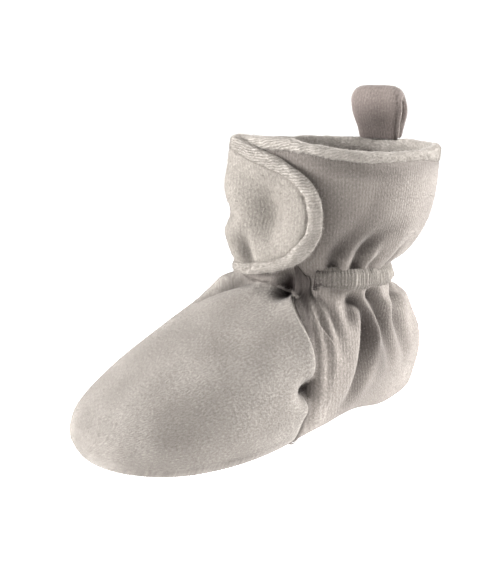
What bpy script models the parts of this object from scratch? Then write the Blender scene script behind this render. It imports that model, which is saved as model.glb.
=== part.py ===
"""Toddler's soft bootie slipper, left foot: velour upper gathered at the heel, wrap-over flap, padded sole.

The toe points to -Y, the wearer's left is +X and up is +Z. Sizes are in millimetres and become metres
where a mesh is made. The origin is on the floor, under the middle of the bootie.
"""

import math
from collections import namedtuple

import bmesh
import bpy
from mathutils import Vector

MM = 0.001

# Walls and clearances
WALL = 3.0
GAP = 0.3

# Sole: a padded slab whose underside is flat at the heel and at the ball, where the grips are printed
SOLE_THICK = 3.3
SOLE_EDGE = 5.0
GRIP_THICK = 0.5
BALL_FLAT = (-44.0, 4.0)
HEEL_FLAT = (38.0, 58.0)
ARCH_LIFT = 2.0
TOE_SPRING = 2.0
TOE_SPRING_RUN = 8.0
HEEL_SPRING = 1.0
HEEL_SPRING_RUN = 2.0
SOLE_INSETS = (22.0, 14.0, 8.0)
SOLE_STEPS = 22
EDGE_WIDEST = 2.6
EDGE_STEPS = 4
EDGE_SHOULDER = (0.2, 3.1)
EDGE_TOP_INSET = 0.8
INSOLE_THICK = 2.0
INSOLE_INSET = 4.1
INSOLE_GAP = 0.5
INSOLE_BULGE = 0.5
INSOLE_BULGE_HEIGHT = 0.7

# Grips: zigzag lines of rubber print across the ball
GRIP_ROWS = (-36.0, -24.5, -13.0, -1.5)
GRIP_STEPS = 9
GRIP_STEP = 4.4
GRIP_SWING = 3.4
GRIP_STROKE = 2.4

# Upper: how far the vamp's edge and the gathers stand off the last. The lip grows from its start station
# to the seam and from the sole seam up to its full level, and fades out at the neck. The heel gathers grow
# over their run of levels and tuck under the casing; the cuff gathers grow out of the casing and fade into
# the cuff.
VAMP_LIP = 2.2
LIP_START = 0.6
LIP_FULL_LEVEL = 1.5
LIP_FADE = 0.5
HEEL_GATHERS = 6
HEEL_GATHER_DEPTH = 1.5
HEEL_GATHER_RUN = (1.5, 6.5)
HEEL_GATHER_TUCK = 0.4
CUFF_GATHERS = 6
CUFF_GATHER_DEPTH = 1.3
CUFF_GATHER_RISE = 0.5
CUFF_GATHER_FADE = (0.6, 2.2)
CASING_THICK = 1.3
FACING_THICK = 1.4
FACING_LOW = 0.5
OVERLAY_EDGE = 0.55

# Girth stations: 0 is the middle of the front, 1 the vamp seam and 2 the middle of the heel
VAMP_STEPS = 8
VAMP_END = 0.93
LIP_STATION = 0.985
FACING_STATIONS = (1.0, 1.015, 1.05, 1.085)
CASING_START = 1.115
QUARTER_STEPS = 24

# Collar hem: a row for each corner of its profile, by its share of the hem's height and its distance off
# the last
HemCorner = namedtuple("HemCorner", "rise off")
HEM_BULGE = 0.6
HEM_ROUND = 0.5
HEM_PROFILE = (
    HemCorner(0.0, -WALL),
    HemCorner(0.0, 0.0),
    HemCorner(0.15, HEM_BULGE),
    HemCorner(0.7, HEM_BULGE),
    HemCorner(1.0, -HEM_ROUND),
    HemCorner(1.0, HEM_ROUND - WALL),
    HemCorner(0.5, -HEM_BULGE - WALL),
)

# Flap, in a flat pattern: millimetres round from the middle of the front, and above the neck
FLAP_ROOT = -17.0
FLAP_TIP = 24.5
FLAP_LOW = 1.5
FLAP_HIGH = 44.3
FLAP_TIP_HEIGHT = 23.0
FLAP_ROUND_HIGH = 2.5
FLAP_ROUND_LOW = 2.1
FLAP_THICK = 2.2
FLAP_HEM = 5.5
FLAP_HEM_THICK = 3.2
FLAP_LIFT = 0.45
FLAP_OVER_HEM = 0.15
FLAP_CLIMB = 0.45
FLAP_ROOT_TURN = 0.98
FLAP_TIP_TURN = 0.1
FLAP_ROWS = 12
FLAP_COLUMNS = 8
FLAP_HEM_STEPS = 32

# Flap hem: a row for each corner of its profile, in from the flap's edge and up from its underside
FlapHemCorner = namedtuple("FlapHemCorner", "inset lift")
FLAP_HEM_ROUND = 1.4
FLAP_HEM_PROFILE = (
    FlapHemCorner(0.5, 0.0),
    FlapHemCorner(0.0, 0.9),
    FlapHemCorner(0.3, 2.6),
    FlapHemCorner(FLAP_HEM_ROUND, FLAP_HEM_THICK),
    FlapHemCorner(FLAP_HEM - FLAP_HEM_ROUND, FLAP_HEM_THICK),
    FlapHemCorner(FLAP_HEM, 2.4),
    FlapHemCorner(FLAP_HEM, 0.0),
)

# Pull loop: a strip bent round an eye, which is an oval from the loop's middle height to its top
LOOP_STATION = -1.86
LOOP_HEIGHT = 16.0
LOOP_WIDTH_LOW = 15.0
LOOP_WIDTH_HIGH = 18.0
LOOP_WIDEN = 0.6
LOOP_BULGE = 2.7
LOOP_FOOT = 1.5
LOOP_SEAT = 0.5
LOOP_THICK = 2.2
LOOP_LEAN = 2.4
LOOP_MIDDLE = 0.55
LOOP_START_DEG = -50
LOOP_SWEEP_DEG = 280
LOOP_STEPS = 14
LOOP_TRIM = 0.8

# Sections of the last from the sole seam up to the collar, one row each. A section runs from its front point
# round to its back point and is widest at wide_y; seam_y is where the vamp seam crosses it. A roundness of 2
# is an ellipse and more is squarer. The heel half narrows to heel_taper of its width, and side_lift is how
# much higher the left side lies than the middle.
Section = namedtuple(
    "Section",
    "name front_y front_z back_y back_z half_width wide_y seam_y front_round back_round heel_taper side_lift",
)
SECTIONS = (
    # name, front y and z, back y and z, half width, wide y, seam y, front and back roundness, taper, lift
    Section("sole seam", -65.6, 3.6, 64.4, 3.6, 27.4, -22.0, -3.5, 2.2, 2.8, 0.75, 0.0),
    Section("feather", -68.5, 7.5, 67.2, 7.5, 30.4, -22.0, -3.0, 2.2, 2.6, 0.77, 0.0),
    Section("toe bulge", -67.6, 12.0, 68.5, 13.5, 31.4, -20.0, -3.0, 2.2, 2.5, 0.80, 0.0),
    Section("toe top", -62.0, 17.4, 68.2, 19.5, 31.4, -16.0, -2.5, 2.2, 2.4, 0.86, 0.0),
    Section("knuckles", -53.0, 23.8, 66.2, 25.5, 30.6, -8.0, -2.5, 2.15, 2.3, 0.92, 0.0),
    Section("ball", -42.0, 30.0, 63.8, 30.5, 29.2, 0.0, -3.0, 2.1, 2.2, 0.96, 0.0),
    Section("instep", -28.0, 36.0, 60.4, 35.2, 27.4, 10.0, -3.5, 2.1, 2.1, 0.98, 0.0),
    Section("ankle", -12.5, 41.4, 55.0, 39.0, 25.4, 18.0, -2.5, 2.1, 2.1, 1.0, 0.0),
    Section("neck", -2.8, 46.8, 48.8, 42.0, 24.0, 22.0, 1.0, 2.1, 2.1, 1.0, 0.0),
    Section("casing top", -2.4, 54.8, 49.2, 49.5, 24.2, 23.0, 2.0, 2.1, 2.1, 1.0, 0.0),
    Section("cuff flare", -3.4, 62.0, 61.4, 57.0, 28.6, 25.0, 3.0, 2.1, 2.1, 1.0, 0.0),
    Section("cuff", -2.6, 74.0, 67.6, 69.0, 31.4, 27.0, 5.0, 2.1, 2.1, 1.0, 0.4),
    Section("hem seam", -1.4, 85.0, 67.2, 81.6, 32.5, 29.0, 7.0, 2.1, 2.1, 1.0, 1.0),
    Section("collar", -0.8, 90.8, 66.8, 87.6, 32.6, 29.0, 7.0, 2.1, 2.1, 1.0, 1.0),
)
SOLE_SEAM, TOE_TOP, NECK, CASING_TOP, CUFF, HEM_SEAM, COLLAR = 0, 3, 8, 9, 11, 12, 13
CASING_LEVELS = [NECK, NECK + 0.25, NECK + 0.75, CASING_TOP]
CUFF_LEVELS = [CASING_TOP + 0.5, CASING_TOP + 1, CASING_TOP + 1.5, CUFF, HEM_SEAM - 0.05]
FOOT_LEVELS = [0, 0.5, 1, 2, 2.5, 3, 3.5, 4, 5, 6, 7, 7.5]
UPPER_LEVELS = FOOT_LEVELS + CASING_LEVELS + CUFF_LEVELS

# Finishes: linear colour and roughness
Finish = namedtuple("Finish", "name colour roughness")
VELOUR = Finish("velour", (0.46, 0.41, 0.37), 0.9)
SOLE_VELOUR = Finish("sole velour", (0.30, 0.26, 0.24), 0.9)
FLEECE = Finish("fleece", (0.60, 0.55, 0.50), 0.95)
GRIP_RUBBER = Finish("grip rubber", (0.52, 0.52, 0.46), 0.6)
SHARP_DEG = 50
STATION_STEP = 0.02


def smooth(value, low, high):
    """0 below low, 1 above high, with an easy curve between."""
    share = min(1.0, max(0.0, (value - low) / (high - low)))
    return share * share * (3 - 2 * share)


def section_at(level):
    """The section at any level, on a smooth curve through the table's rows."""
    index = min(int(level), len(SECTIONS) - 2)
    share = level - index
    rows = [SECTIONS[min(max(index + step, 0), len(SECTIONS) - 1)] for step in (-1, 0, 1, 2)]
    values = []
    for before, start, end, after in zip(*(row[1:] for row in rows)):
        rise = (end - before) / 2
        fall = (after - start) / 2
        bend = 2 * start - 2 * end + rise + fall
        ease = -3 * start + 3 * end - 2 * rise - fall
        values.append(start + share * (rise + share * (ease + share * bend)))
    return Section(rows[1].name, *values)


def floor_lift(y):
    """How far the sole's underside rises off its flats at the arch, the toe and the back of the heel."""
    arch_middle = (BALL_FLAT[1] + HEEL_FLAT[0]) / 2
    arch = smooth(y, BALL_FLAT[1], arch_middle) * (1 - smooth(y, arch_middle, HEEL_FLAT[0]))
    toe = smooth(-y, -BALL_FLAT[0], TOE_SPRING_RUN - SECTIONS[SOLE_SEAM].front_y)
    heel = smooth(y, HEEL_FLAT[1], SECTIONS[SOLE_SEAM].back_y + HEEL_SPRING_RUN)
    return ARCH_LIFT * arch + TOE_SPRING * toe + HEEL_SPRING * heel


def station_angle(section, girth):
    """Angle round a section, from the front, of a girth station between 0 and 2."""
    if section.seam_y < section.wide_y:
        reach = (section.wide_y - section.seam_y) / (section.wide_y - section.front_y)
        seam = math.acos(reach ** (section.front_round / 2))
    else:
        reach = (section.seam_y - section.wide_y) / (section.back_y - section.wide_y)
        seam = math.acos(-(reach ** (section.back_round / 2)))
    if girth <= 1:
        return girth * seam
    return seam + (girth - 1) * (math.pi - seam)


def section_point(section, girth, inset=0.0):
    """Point of a section at a girth station; the wearer's left is positive and the right negative."""
    girth = (girth + 2) % 4 - 2
    angle = station_angle(section, abs(girth))
    along = math.cos(angle)
    across = max(0.0, math.sin(angle))
    power = 2 / (section.front_round if along > 0 else section.back_round)
    length = section.wide_y - section.front_y if along > 0 else section.back_y - section.wide_y
    y = section.wide_y - math.copysign((length - inset) * abs(along) ** power, along)
    heelward = max(0.0, y - section.wide_y) / (section.back_y - section.wide_y)
    taper = 1 - (1 - section.heel_taper) * heelward
    x = math.copysign((section.half_width - inset) * across**power * taper, girth)
    tilt = (y - section.front_y) / (section.back_y - section.front_y)
    z = section.front_z + (section.back_z - section.front_z) * tilt
    return Vector((x, y, z + section.side_lift * x / section.half_width))


def last_point(girth, level):
    """Point of the last itself, without lip or gathers; near the sole it follows the sole's own rise."""
    point = section_point(section_at(level), girth)
    point.z += floor_lift(point.y) * (1 - smooth(level, SOLE_SEAM, TOE_TOP))
    return point


def last_normal(girth, level):
    """Outward direction of the last at a girth station and level."""
    low = max(level - STATION_STEP, SOLE_SEAM)
    high = min(level + STATION_STEP, COLLAR)
    around = last_point(girth + STATION_STEP, level) - last_point(girth - STATION_STEP, level)
    up = last_point(girth, high) - last_point(girth, low)
    return around.cross(up).normalized()


def vamp_lip(girth, level):
    """The padded vamp stands proud of the heel quarter along its seam."""
    if abs(girth) > LIP_STATION:
        return 0.0
    share = smooth(abs(girth), LIP_START, LIP_STATION) * smooth(level, SOLE_SEAM, LIP_FULL_LEVEL)
    return VAMP_LIP * share * (1 - smooth(level, NECK - LIP_FADE, NECK + LIP_FADE))


def gathers(girth, level):
    """Troughs that the elastic draws into the quarter below its casing and into the cuff above it."""
    back = (abs(girth) - CASING_START) / (2 - CASING_START)
    if back <= 0:
        return 0.0
    above = level - CASING_TOP
    heel = smooth(level, *HEEL_GATHER_RUN) * (1 - smooth(level, NECK - HEEL_GATHER_TUCK, NECK))
    cuff = smooth(above, 0, CUFF_GATHER_RISE) * (1 - smooth(above, *CUFF_GATHER_FADE))
    heel_wave = (1 + math.cos(2 * math.pi * HEEL_GATHERS * back)) / 2
    cuff_wave = (1 + math.cos(2 * math.pi * CUFF_GATHERS * back)) / 2
    return -HEEL_GATHER_DEPTH * heel * heel_wave - CUFF_GATHER_DEPTH * cuff * cuff_wave


def upper_point(girth, level, lift=0.0):
    """Point on the upper's outer face, or lift millimetres off it."""
    out = vamp_lip(girth, level) + gathers(girth, level) + lift
    return last_point(girth, level) + last_normal(girth, level) * out


def girth_stations():
    """Stations once round the upper: front, left side, heel, right side."""
    left = [VAMP_END * step / VAMP_STEPS for step in range(VAMP_STEPS + 1)]
    left += [LIP_STATION, *FACING_STATIONS]
    left += [CASING_START + (2 - CASING_START) * step / QUARTER_STEPS for step in range(QUARTER_STEPS + 1)]
    return left + [-girth for girth in left[-2:0:-1]]


STATIONS = girth_stations()


def material(finish):
    """The material of a finish, made when it is first asked for."""
    made = bpy.data.materials.get(finish.name)
    if made is None:
        made = bpy.data.materials.new(finish.name)
        made.use_nodes = True
        shader = made.node_tree.nodes["Principled BSDF"]
        shader.inputs["Base Color"].default_value = (*finish.colour, 1)
        shader.inputs["Roughness"].default_value = finish.roughness
        shader.inputs["Metallic"].default_value = 0
    return made


def add_object(name, mesh_data, finish):
    """Turns a closed bmesh in millimetres into a named object in metres."""
    bmesh.ops.recalc_face_normals(mesh_data, faces=mesh_data.faces)
    bmesh.ops.scale(mesh_data, vec=(MM, MM, MM), verts=mesh_data.verts)
    mesh = bpy.data.meshes.new(name)
    mesh_data.to_mesh(mesh)
    mesh_data.free()
    mesh.shade_smooth()
    mesh.set_sharp_from_angle(angle=math.radians(SHARP_DEG))
    mesh.materials.append(material(finish))
    made = bpy.data.objects.new(name, mesh)
    bpy.context.scene.collection.objects.link(made)
    return made


def join_loops(mesh_data, first, second, around=True):
    """Quads between two rows of vertices, closed round unless around is False."""
    count = len(first)
    for place in range(count if around else count - 1):
        following = (place + 1) % count
        mesh_data.faces.new((first[place], first[following], second[following], second[place]))


def loft(name, loops, finish, closed=False, caps="face"):
    """Skins closed loops in turn. The ends are joined, capped by a face, or bridged left to right."""
    mesh_data = bmesh.new()
    rows = [[mesh_data.verts.new(point) for point in loop] for loop in loops]
    for first, second in zip(rows, rows[1:] + rows[:1] if closed else rows[1:]):
        join_loops(mesh_data, first, second)
    if not closed:
        for row in (rows[0], rows[-1]):
            if caps == "face":
                mesh_data.faces.new(row)
            else:
                bridge_across(mesh_data, row)
    return add_object(name, mesh_data, finish)


def bridge_across(mesh_data, row):
    """Fills a loop that starts at its front with strips from its left side to its right side."""
    half = len(row) // 2
    left = row[: half + 1]
    right = [row[0]] + row[:half - 1:-1]
    for place in range(half):
        corners = [left[place], left[place + 1], right[place + 1], right[place]]
        mesh_data.faces.new(list(dict.fromkeys(corners)))


def slab(name, outer, inner, finish):
    """A sheet with thickness from two matching grids of points."""
    mesh_data = bmesh.new()
    sheets = [[[mesh_data.verts.new(point) for point in row] for row in grid] for grid in (outer, inner)]
    for sheet in sheets:
        for first, second in zip(sheet, sheet[1:]):
            join_loops(mesh_data, first, second, around=False)
    rims = []
    for sheet in sheets:
        sides = [row[-1] for row in sheet[1:-1]] + sheet[-1][::-1] + [row[0] for row in sheet[-2:0:-1]]
        rims.append(sheet[0] + sides)
    join_loops(mesh_data, rims[0], rims[1])
    return add_object(name, mesh_data, finish)


def overlay(name, stations, levels, thick, finish):
    """A raised strip of the upper's own form, thinned at its edges."""

    def grid(lift):
        rows = []
        for level in levels:
            rows.append([upper_point(girth, level, lift(girth, level)) for girth in stations])
        return rows

    def outside(girth, level):
        on_edge = girth in (stations[0], stations[-1]) or level in (levels[0], levels[-1])
        return GAP + thick * (OVERLAY_EDGE if on_edge else 1.0)

    return slab(name, grid(outside), grid(lambda girth, level: GAP), finish)


def make_upper():
    """One hollow wall from the sole seam to the hem seam, gathered outside and smooth inside."""
    outer = [[upper_point(girth, level) for girth in STATIONS] for level in UPPER_LEVELS]
    inner = []
    for level in UPPER_LEVELS:
        ring = []
        for girth in STATIONS:
            point = last_point(girth, level) - last_normal(girth, level) * WALL
            if level == SOLE_SEAM:
                point.z = last_point(girth, level).z
            ring.append(point)
        inner.append(ring)
    loft("upper", outer + inner[::-1], VELOUR, closed=True)


def sole_ring(inset, height):
    """Ring of the sole's outline, taken in by inset, at a height above its underside."""
    ring = []
    for step in range(2 * SOLE_STEPS):
        point = section_point(SECTIONS[SOLE_SEAM], 2 * step / SOLE_STEPS, inset)
        over_grips = (GRIP_THICK + GAP) * (1 - smooth(point.y, BALL_FLAT[1], HEEL_FLAT[0]))
        point.z = floor_lift(point.y) + height + over_grips * max(0.0, 1 - height / SOLE_THICK)
        ring.append(point)
    return ring


def make_sole():
    """Padded slab with a rolled edge: bottom, edge and top rings from the middle out and back."""
    rolled = []
    for step in range(EDGE_STEPS + 1):
        turn = math.pi / 2 * step / EDGE_STEPS
        rolled.append((SOLE_EDGE * (1 - math.sin(turn)), EDGE_WIDEST * (1 - math.cos(turn))))
    rolled.append(EDGE_SHOULDER)
    loops = [sole_ring(inset, 0.0) for inset in SOLE_INSETS]
    loops += [sole_ring(inset, height) for inset, height in rolled]
    loops += [sole_ring(inset, SOLE_THICK) for inset in (EDGE_TOP_INSET, INSOLE_INSET, *SOLE_INSETS[::-1])]
    loft("sole", loops, SOLE_VELOUR, caps="across")


def make_insole():
    """Fleece insole lying on the sole inside the upper."""
    low = SOLE_THICK + INSOLE_GAP
    high = low + INSOLE_THICK
    loops = [sole_ring(inset, low) for inset in (*SOLE_INSETS, INSOLE_INSET)]
    loops += [sole_ring(INSOLE_INSET - INSOLE_BULGE, low + INSOLE_BULGE_HEIGHT)]
    loops += [sole_ring(inset, high) for inset in (INSOLE_INSET, *SOLE_INSETS[::-1])]
    loft("insole", loops, FLEECE, caps="across")


def make_grip(number, row_y):
    """One zigzag line with mitred corners, printed under the ball."""
    turns = []
    for step in range(GRIP_STEPS + 1):
        swing = GRIP_SWING if step % 2 else -GRIP_SWING
        turns.append(Vector((GRIP_STEP * (step - GRIP_STEPS / 2), row_y + swing)))
    loops = []
    for step, turn in enumerate(turns):
        before = (turn - turns[max(step - 1, 0)]) if step else turns[1] - turn
        after = (turns[min(step + 1, GRIP_STEPS)] - turn) if step < GRIP_STEPS else before
        side = Vector((-before.y, before.x)).normalized() + Vector((-after.y, after.x)).normalized()
        side.normalize()
        reach = GRIP_STROKE / 2 / side.dot(Vector((-before.y, before.x)).normalized())
        left, right = turn + side * reach, turn - side * reach
        loops.append([(*left, 0), (*right, 0), (*right, GRIP_THICK), (*left, GRIP_THICK)])
    loft(f"grip_{number}", loops, GRIP_RUBBER)


def make_collar_hem():
    """Rolled hem that caps the upper's wall round the collar."""
    loops = []
    for girth in STATIONS:
        loop = []
        for corner in HEM_PROFILE:
            level = HEM_SEAM + (COLLAR - HEM_SEAM) * corner.rise
            loop.append(last_point(girth, level) + last_normal(girth, level) * corner.off)
        loops.append(loop)
    loft("collar_hem", loops, VELOUR, closed=True)


def station_after(distance, level):
    """Girth station that lies a distance round the last from the middle of the front, left positive."""
    station = 0.0
    walked = 0.0
    here = last_point(station, level)
    while walked < abs(distance):
        following = last_point(station + STATION_STEP, level)
        stride = (following - here).length
        share = min(1.0, (abs(distance) - walked) / stride)
        station += STATION_STEP * share
        walked += stride
        here = following
    return math.copysign(station, distance)


def level_at_height(height):
    """Level of the cuff whose middle lies this far above the neck."""
    middles = [(row.front_z + row.back_z) / 2 for row in SECTIONS]
    target = middles[NECK] + height
    for level in range(NECK, COLLAR):
        if target <= middles[level + 1]:
            return level + max(0.0, target - middles[level]) / (middles[level + 1] - middles[level])
    return COLLAR


def cuff_point(across, height, lift):
    """Point on the cuff from the flap's flat pattern: millimetres round from the front and above the neck."""
    level = level_at_height(height)
    over_hem = (HEM_BULGE + FLAP_OVER_HEM) * smooth(level, HEM_SEAM - FLAP_CLIMB, HEM_SEAM)
    station = station_after(across, level)
    return last_point(station, level) + last_normal(station, level) * (FLAP_LIFT + over_hem + lift)


def flap_edge(turn, inset=0.0):
    """Point of the flap's free edge in its pattern: turn runs from 1 at the top corner to -1 at the foot."""
    roundness = FLAP_ROUND_HIGH if turn > 0 else FLAP_ROUND_LOW
    rise = FLAP_HIGH - FLAP_TIP_HEIGHT if turn > 0 else FLAP_TIP_HEIGHT - FLAP_LOW
    along = max(0.0, math.cos(turn * math.pi / 2)) ** (2 / roundness)
    swing = math.copysign((1 - along**roundness) ** (1 / roundness), turn)
    return FLAP_ROOT + (FLAP_TIP - FLAP_ROOT - inset) * along, FLAP_TIP_HEIGHT + (rise - inset) * swing


def flap_turn(across, inset, roundness):
    """Turn at which the flap's edge of this roundness passes a place across its pattern."""
    along = (across - FLAP_ROOT) / (FLAP_TIP - FLAP_ROOT - inset)
    return math.acos(along ** (roundness / 2)) / (math.pi / 2)


def make_flap():
    """Closing flap inside its hem: rows from the root to the tip, from the lower edge to the upper."""
    inset = FLAP_HEM + GAP
    outer = []
    inner = []
    for row in range(FLAP_ROWS + 1):
        across = flap_edge(FLAP_ROOT_TURN - (FLAP_ROOT_TURN - FLAP_TIP_TURN) * row / FLAP_ROWS, inset)[0]
        high = flap_edge(flap_turn(across, inset, FLAP_ROUND_HIGH), inset)[1]
        low = flap_edge(-flap_turn(across, inset, FLAP_ROUND_LOW), inset)[1]
        heights = [low + (high - low) * column / FLAP_COLUMNS for column in range(FLAP_COLUMNS + 1)]
        inner.append([cuff_point(across, height, 0.0) for height in heights])
        outer.append([cuff_point(across, height, FLAP_THICK) for height in heights])
    slab("flap", outer, inner, VELOUR)


def make_flap_hem():
    """Rolled hem along the flap's free edge."""
    loops = []
    for step in range(FLAP_HEM_STEPS + 1):
        turn = FLAP_ROOT_TURN * (1 - 2 * step / FLAP_HEM_STEPS)
        loops.append([cuff_point(*flap_edge(turn, corner.inset), corner.lift) for corner in FLAP_HEM_PROFILE])
    loft("flap_hem", loops, VELOUR)


def make_pull_loop():
    """Folded strip that stands on the collar behind the heel, its two legs nearly touching at the foot."""
    foot = last_point(LOOP_STATION, COLLAR)
    outward = last_normal(LOOP_STATION, COLLAR)
    outward = Vector((outward.x, outward.y, 0)).normalized()
    sideways = Vector((-outward.y, outward.x, 0))
    base = foot - outward * (WALL / 2) + Vector((0, 0, GAP + LOOP_SEAT))
    middle = LOOP_HEIGHT * LOOP_MIDDLE
    path = [Vector((LOOP_FOOT, 0.0))]
    for step in range(LOOP_STEPS + 1):
        turn = math.radians(LOOP_START_DEG + LOOP_SWEEP_DEG * step / LOOP_STEPS)
        path.append(Vector((LOOP_BULGE * math.cos(turn), middle + (LOOP_HEIGHT - middle) * math.sin(turn))))
    path.append(Vector((-LOOP_FOOT, 0.0)))
    corners = [(-1, 1), (-1, 0), (-1, -1), (1, -1), (1, 0), (1, 1)]
    loops = []
    for step, place in enumerate(path):
        ahead = path[min(step + 1, len(path) - 1)] - path[max(step - 1, 0)]
        across = Vector((ahead.y, -ahead.x)).normalized() * (LOOP_THICK / 2)
        if step in (0, len(path) - 1):
            across = Vector((math.copysign(LOOP_THICK / 2, ahead.y), 0.0))
        share = smooth(place.y, 0.0, LOOP_HEIGHT * LOOP_WIDEN)
        half = (LOOP_WIDTH_LOW + (LOOP_WIDTH_HIGH - LOOP_WIDTH_LOW) * share) / 2
        loop = []
        for side, face in corners:
            flat = place + across * face
            flat.x -= LOOP_LEAN * place.y / LOOP_HEIGHT
            edge = side * (half - LOOP_TRIM * abs(face))
            loop.append(base + outward * flat.x + sideways * edge + Vector((0, 0, flat.y)))
        loops.append(loop)
    loft("pull_loop", loops, VELOUR)


def make_overlays():
    """Elastic casing round the ankle and the turned facing behind each vamp seam."""
    casing = [girth for girth in STATIONS if abs(girth) >= CASING_START]
    overlay("ankle_casing", casing, CASING_LEVELS, CASING_THICK, VELOUR)
    facing = list(FACING_STATIONS[1:])
    levels = [level for level in UPPER_LEVELS if FACING_LOW <= level <= NECK]
    overlay("facing_left", facing, levels, FACING_THICK, VELOUR)
    overlay("facing_right", [-girth for girth in facing], levels, FACING_THICK, VELOUR)


def main():
    for old in list(bpy.data.objects):
        bpy.data.objects.remove(old)
    make_upper()
    make_sole()
    make_insole()
    for number, row_y in enumerate(GRIP_ROWS, 1):
        make_grip(number, row_y)
    make_collar_hem()
    make_flap()
    make_flap_hem()
    make_pull_loop()
    make_overlays()


main()
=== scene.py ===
# %% [markdown]
# # A toddler's bootie slipper in velour
# The frame holds the slipper's solids at their real size: a hollow upper, a padded sole and the trims
# that are sewn on. They are right in size and place but as plain as a shoemaker's last. This lesson
# dresses them. Each soft solid is copied, rounded, and pressed into the folds that elastic and stitching
# pull into real cloth. The copies then get the velour itself, with its knitted ribs, its pile and its nap.

# %% Load the frame
import math
from collections import namedtuple

import bmesh
import bpy
import numpy as np
from mathutils import Matrix, Vector, noise
from mathutils.bvhtree import BVHTree


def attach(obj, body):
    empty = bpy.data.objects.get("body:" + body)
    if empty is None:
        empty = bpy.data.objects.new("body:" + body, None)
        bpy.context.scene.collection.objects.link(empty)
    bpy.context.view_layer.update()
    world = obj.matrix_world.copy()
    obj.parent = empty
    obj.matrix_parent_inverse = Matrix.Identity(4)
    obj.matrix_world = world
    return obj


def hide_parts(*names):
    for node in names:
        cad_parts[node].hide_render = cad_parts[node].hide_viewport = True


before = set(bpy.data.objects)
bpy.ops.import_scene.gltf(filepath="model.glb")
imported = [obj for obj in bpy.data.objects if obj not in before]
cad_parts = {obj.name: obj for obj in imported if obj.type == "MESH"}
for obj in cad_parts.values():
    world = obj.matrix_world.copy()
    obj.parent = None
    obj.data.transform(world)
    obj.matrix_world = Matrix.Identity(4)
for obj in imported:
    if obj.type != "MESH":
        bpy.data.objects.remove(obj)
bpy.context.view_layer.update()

MM = 0.001
print("solids to dress:", ", ".join(sorted(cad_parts)))

# %% [markdown]
# ## Camera
# The camera stands in front of the slipper's outer side, a little above it, close enough for the toe to
# look large. The focal length in pixels was found from the outline of the slipper, and a 36 mm sensor on
# the picture's long side turns it into a lens. Aiming the camera is better than shifting its lens,
# because a shift would stay when the view moves round the slipper.

# %% Place the camera
PICTURE_HEIGHT = 587
FOCAL_PIXELS = 970
SENSOR_WIDTH = 36.0
CAMERA_PLACE = Vector((236.3, -188.7, 128.0)) * MM
CAMERA_AIM = Vector((-3.9, -5.7, 43.0)) * MM
CAMERA_ROLL = math.radians(-0.5)

camera_data = bpy.data.cameras.new("camera")
camera_data.sensor_width = SENSOR_WIDTH
camera_data.lens = SENSOR_WIDTH * FOCAL_PIXELS / PICTURE_HEIGHT
camera = bpy.data.objects.new("camera", camera_data)
bpy.context.scene.collection.objects.link(camera)
gaze = (CAMERA_AIM - CAMERA_PLACE).to_track_quat("-Z", "Y")
camera.matrix_world = Matrix.LocRotScale(CAMERA_PLACE, gaze, None) @ Matrix.Rotation(CAMERA_ROLL, 4, "Z")
bpy.context.scene.camera = camera
print("lens:", round(camera_data.lens, 1), "mm")

# %% [markdown]
# ## Colours and nodes
# Colours are easiest to read as the hex values of a picture, but the renderer works with linear light, so
# one function converts them. A second small function adds a shader node, sets its options and links its
# inputs, which keeps each material down to a short list of nodes.

# %% Colour and node helpers
def linear(hex_code):
    """Linear colour with alpha from an sRGB hex value such as C0B4AA."""
    shares = [int(hex_code[place:place + 2], 16) / 255 for place in (0, 2, 4)]
    light = [share / 12.92 if share <= 0.04045 else ((share + 0.055) / 1.055) ** 2.4 for share in shares]
    return (*light, 1.0)


def add_node(tree, kind, inputs=None, **options):
    """Adds a node, sets its options, and sets or links its inputs by name or number."""
    made = tree.nodes.new(kind)
    for name, value in options.items():
        setattr(made, name, value)
    for name, value in (inputs or {}).items():
        if isinstance(value, bpy.types.NodeSocket):
            tree.links.new(value, made.inputs[name])
        else:
            made.inputs[name].default_value = value
    return made


def new_material(name):
    """An empty node material, and the node tree to fill."""
    made = bpy.data.materials.new(name)
    made.use_nodes = True
    made.node_tree.nodes.clear()
    return made, made.node_tree


print("example: C0B4AA is", [round(value, 3) for value in linear("C0B4AA")])

# %% [markdown]
# ## Floor and light
# A studio stands small things in a white sweep, so that no horizon shows. Here the sweep is a wide round
# bowl, spun from one profile, and looks the same from every side.

# %% Spin the sweep
FLOOR_RADIUS = 1.0
SWEEP_RADIUS = 0.5
WALL_HEIGHT = 0.8
SWEEP_STEPS = 12
SPIN_STEPS = 64

sweep = bmesh.new()
profile = [sweep.verts.new((0, 0, 0)), sweep.verts.new((FLOOR_RADIUS, 0, 0))]
for step in range(1, SWEEP_STEPS + 1):
    turn = math.pi / 2 * step / SWEEP_STEPS
    reach = FLOOR_RADIUS + SWEEP_RADIUS * math.sin(turn)
    profile.append(sweep.verts.new((reach, 0, SWEEP_RADIUS * (1 - math.cos(turn)))))
profile.append(sweep.verts.new((FLOOR_RADIUS + SWEEP_RADIUS, 0, WALL_HEIGHT)))
profile_edges = [sweep.edges.new(pair) for pair in zip(profile, profile[1:])]
bmesh.ops.spin(sweep, geom=profile + profile_edges, cent=(0, 0, 0), axis=(0, 0, 1),
               angle=2 * math.pi, steps=SPIN_STEPS, use_merge=True)
bmesh.ops.remove_doubles(sweep, verts=sweep.verts, dist=0.1 * MM)
bmesh.ops.recalc_face_normals(sweep, faces=sweep.faces)
sweep_mesh = bpy.data.meshes.new("white_sweep")
sweep.to_mesh(sweep_mesh)
sweep.free()
sweep_mesh.shade_smooth()
white_sweep = bpy.data.objects.new("white_sweep", sweep_mesh)
bpy.context.scene.collection.objects.link(white_sweep)
print("sweep:", 2 * (FLOOR_RADIUS + SWEEP_RADIUS), "m across")

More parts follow.
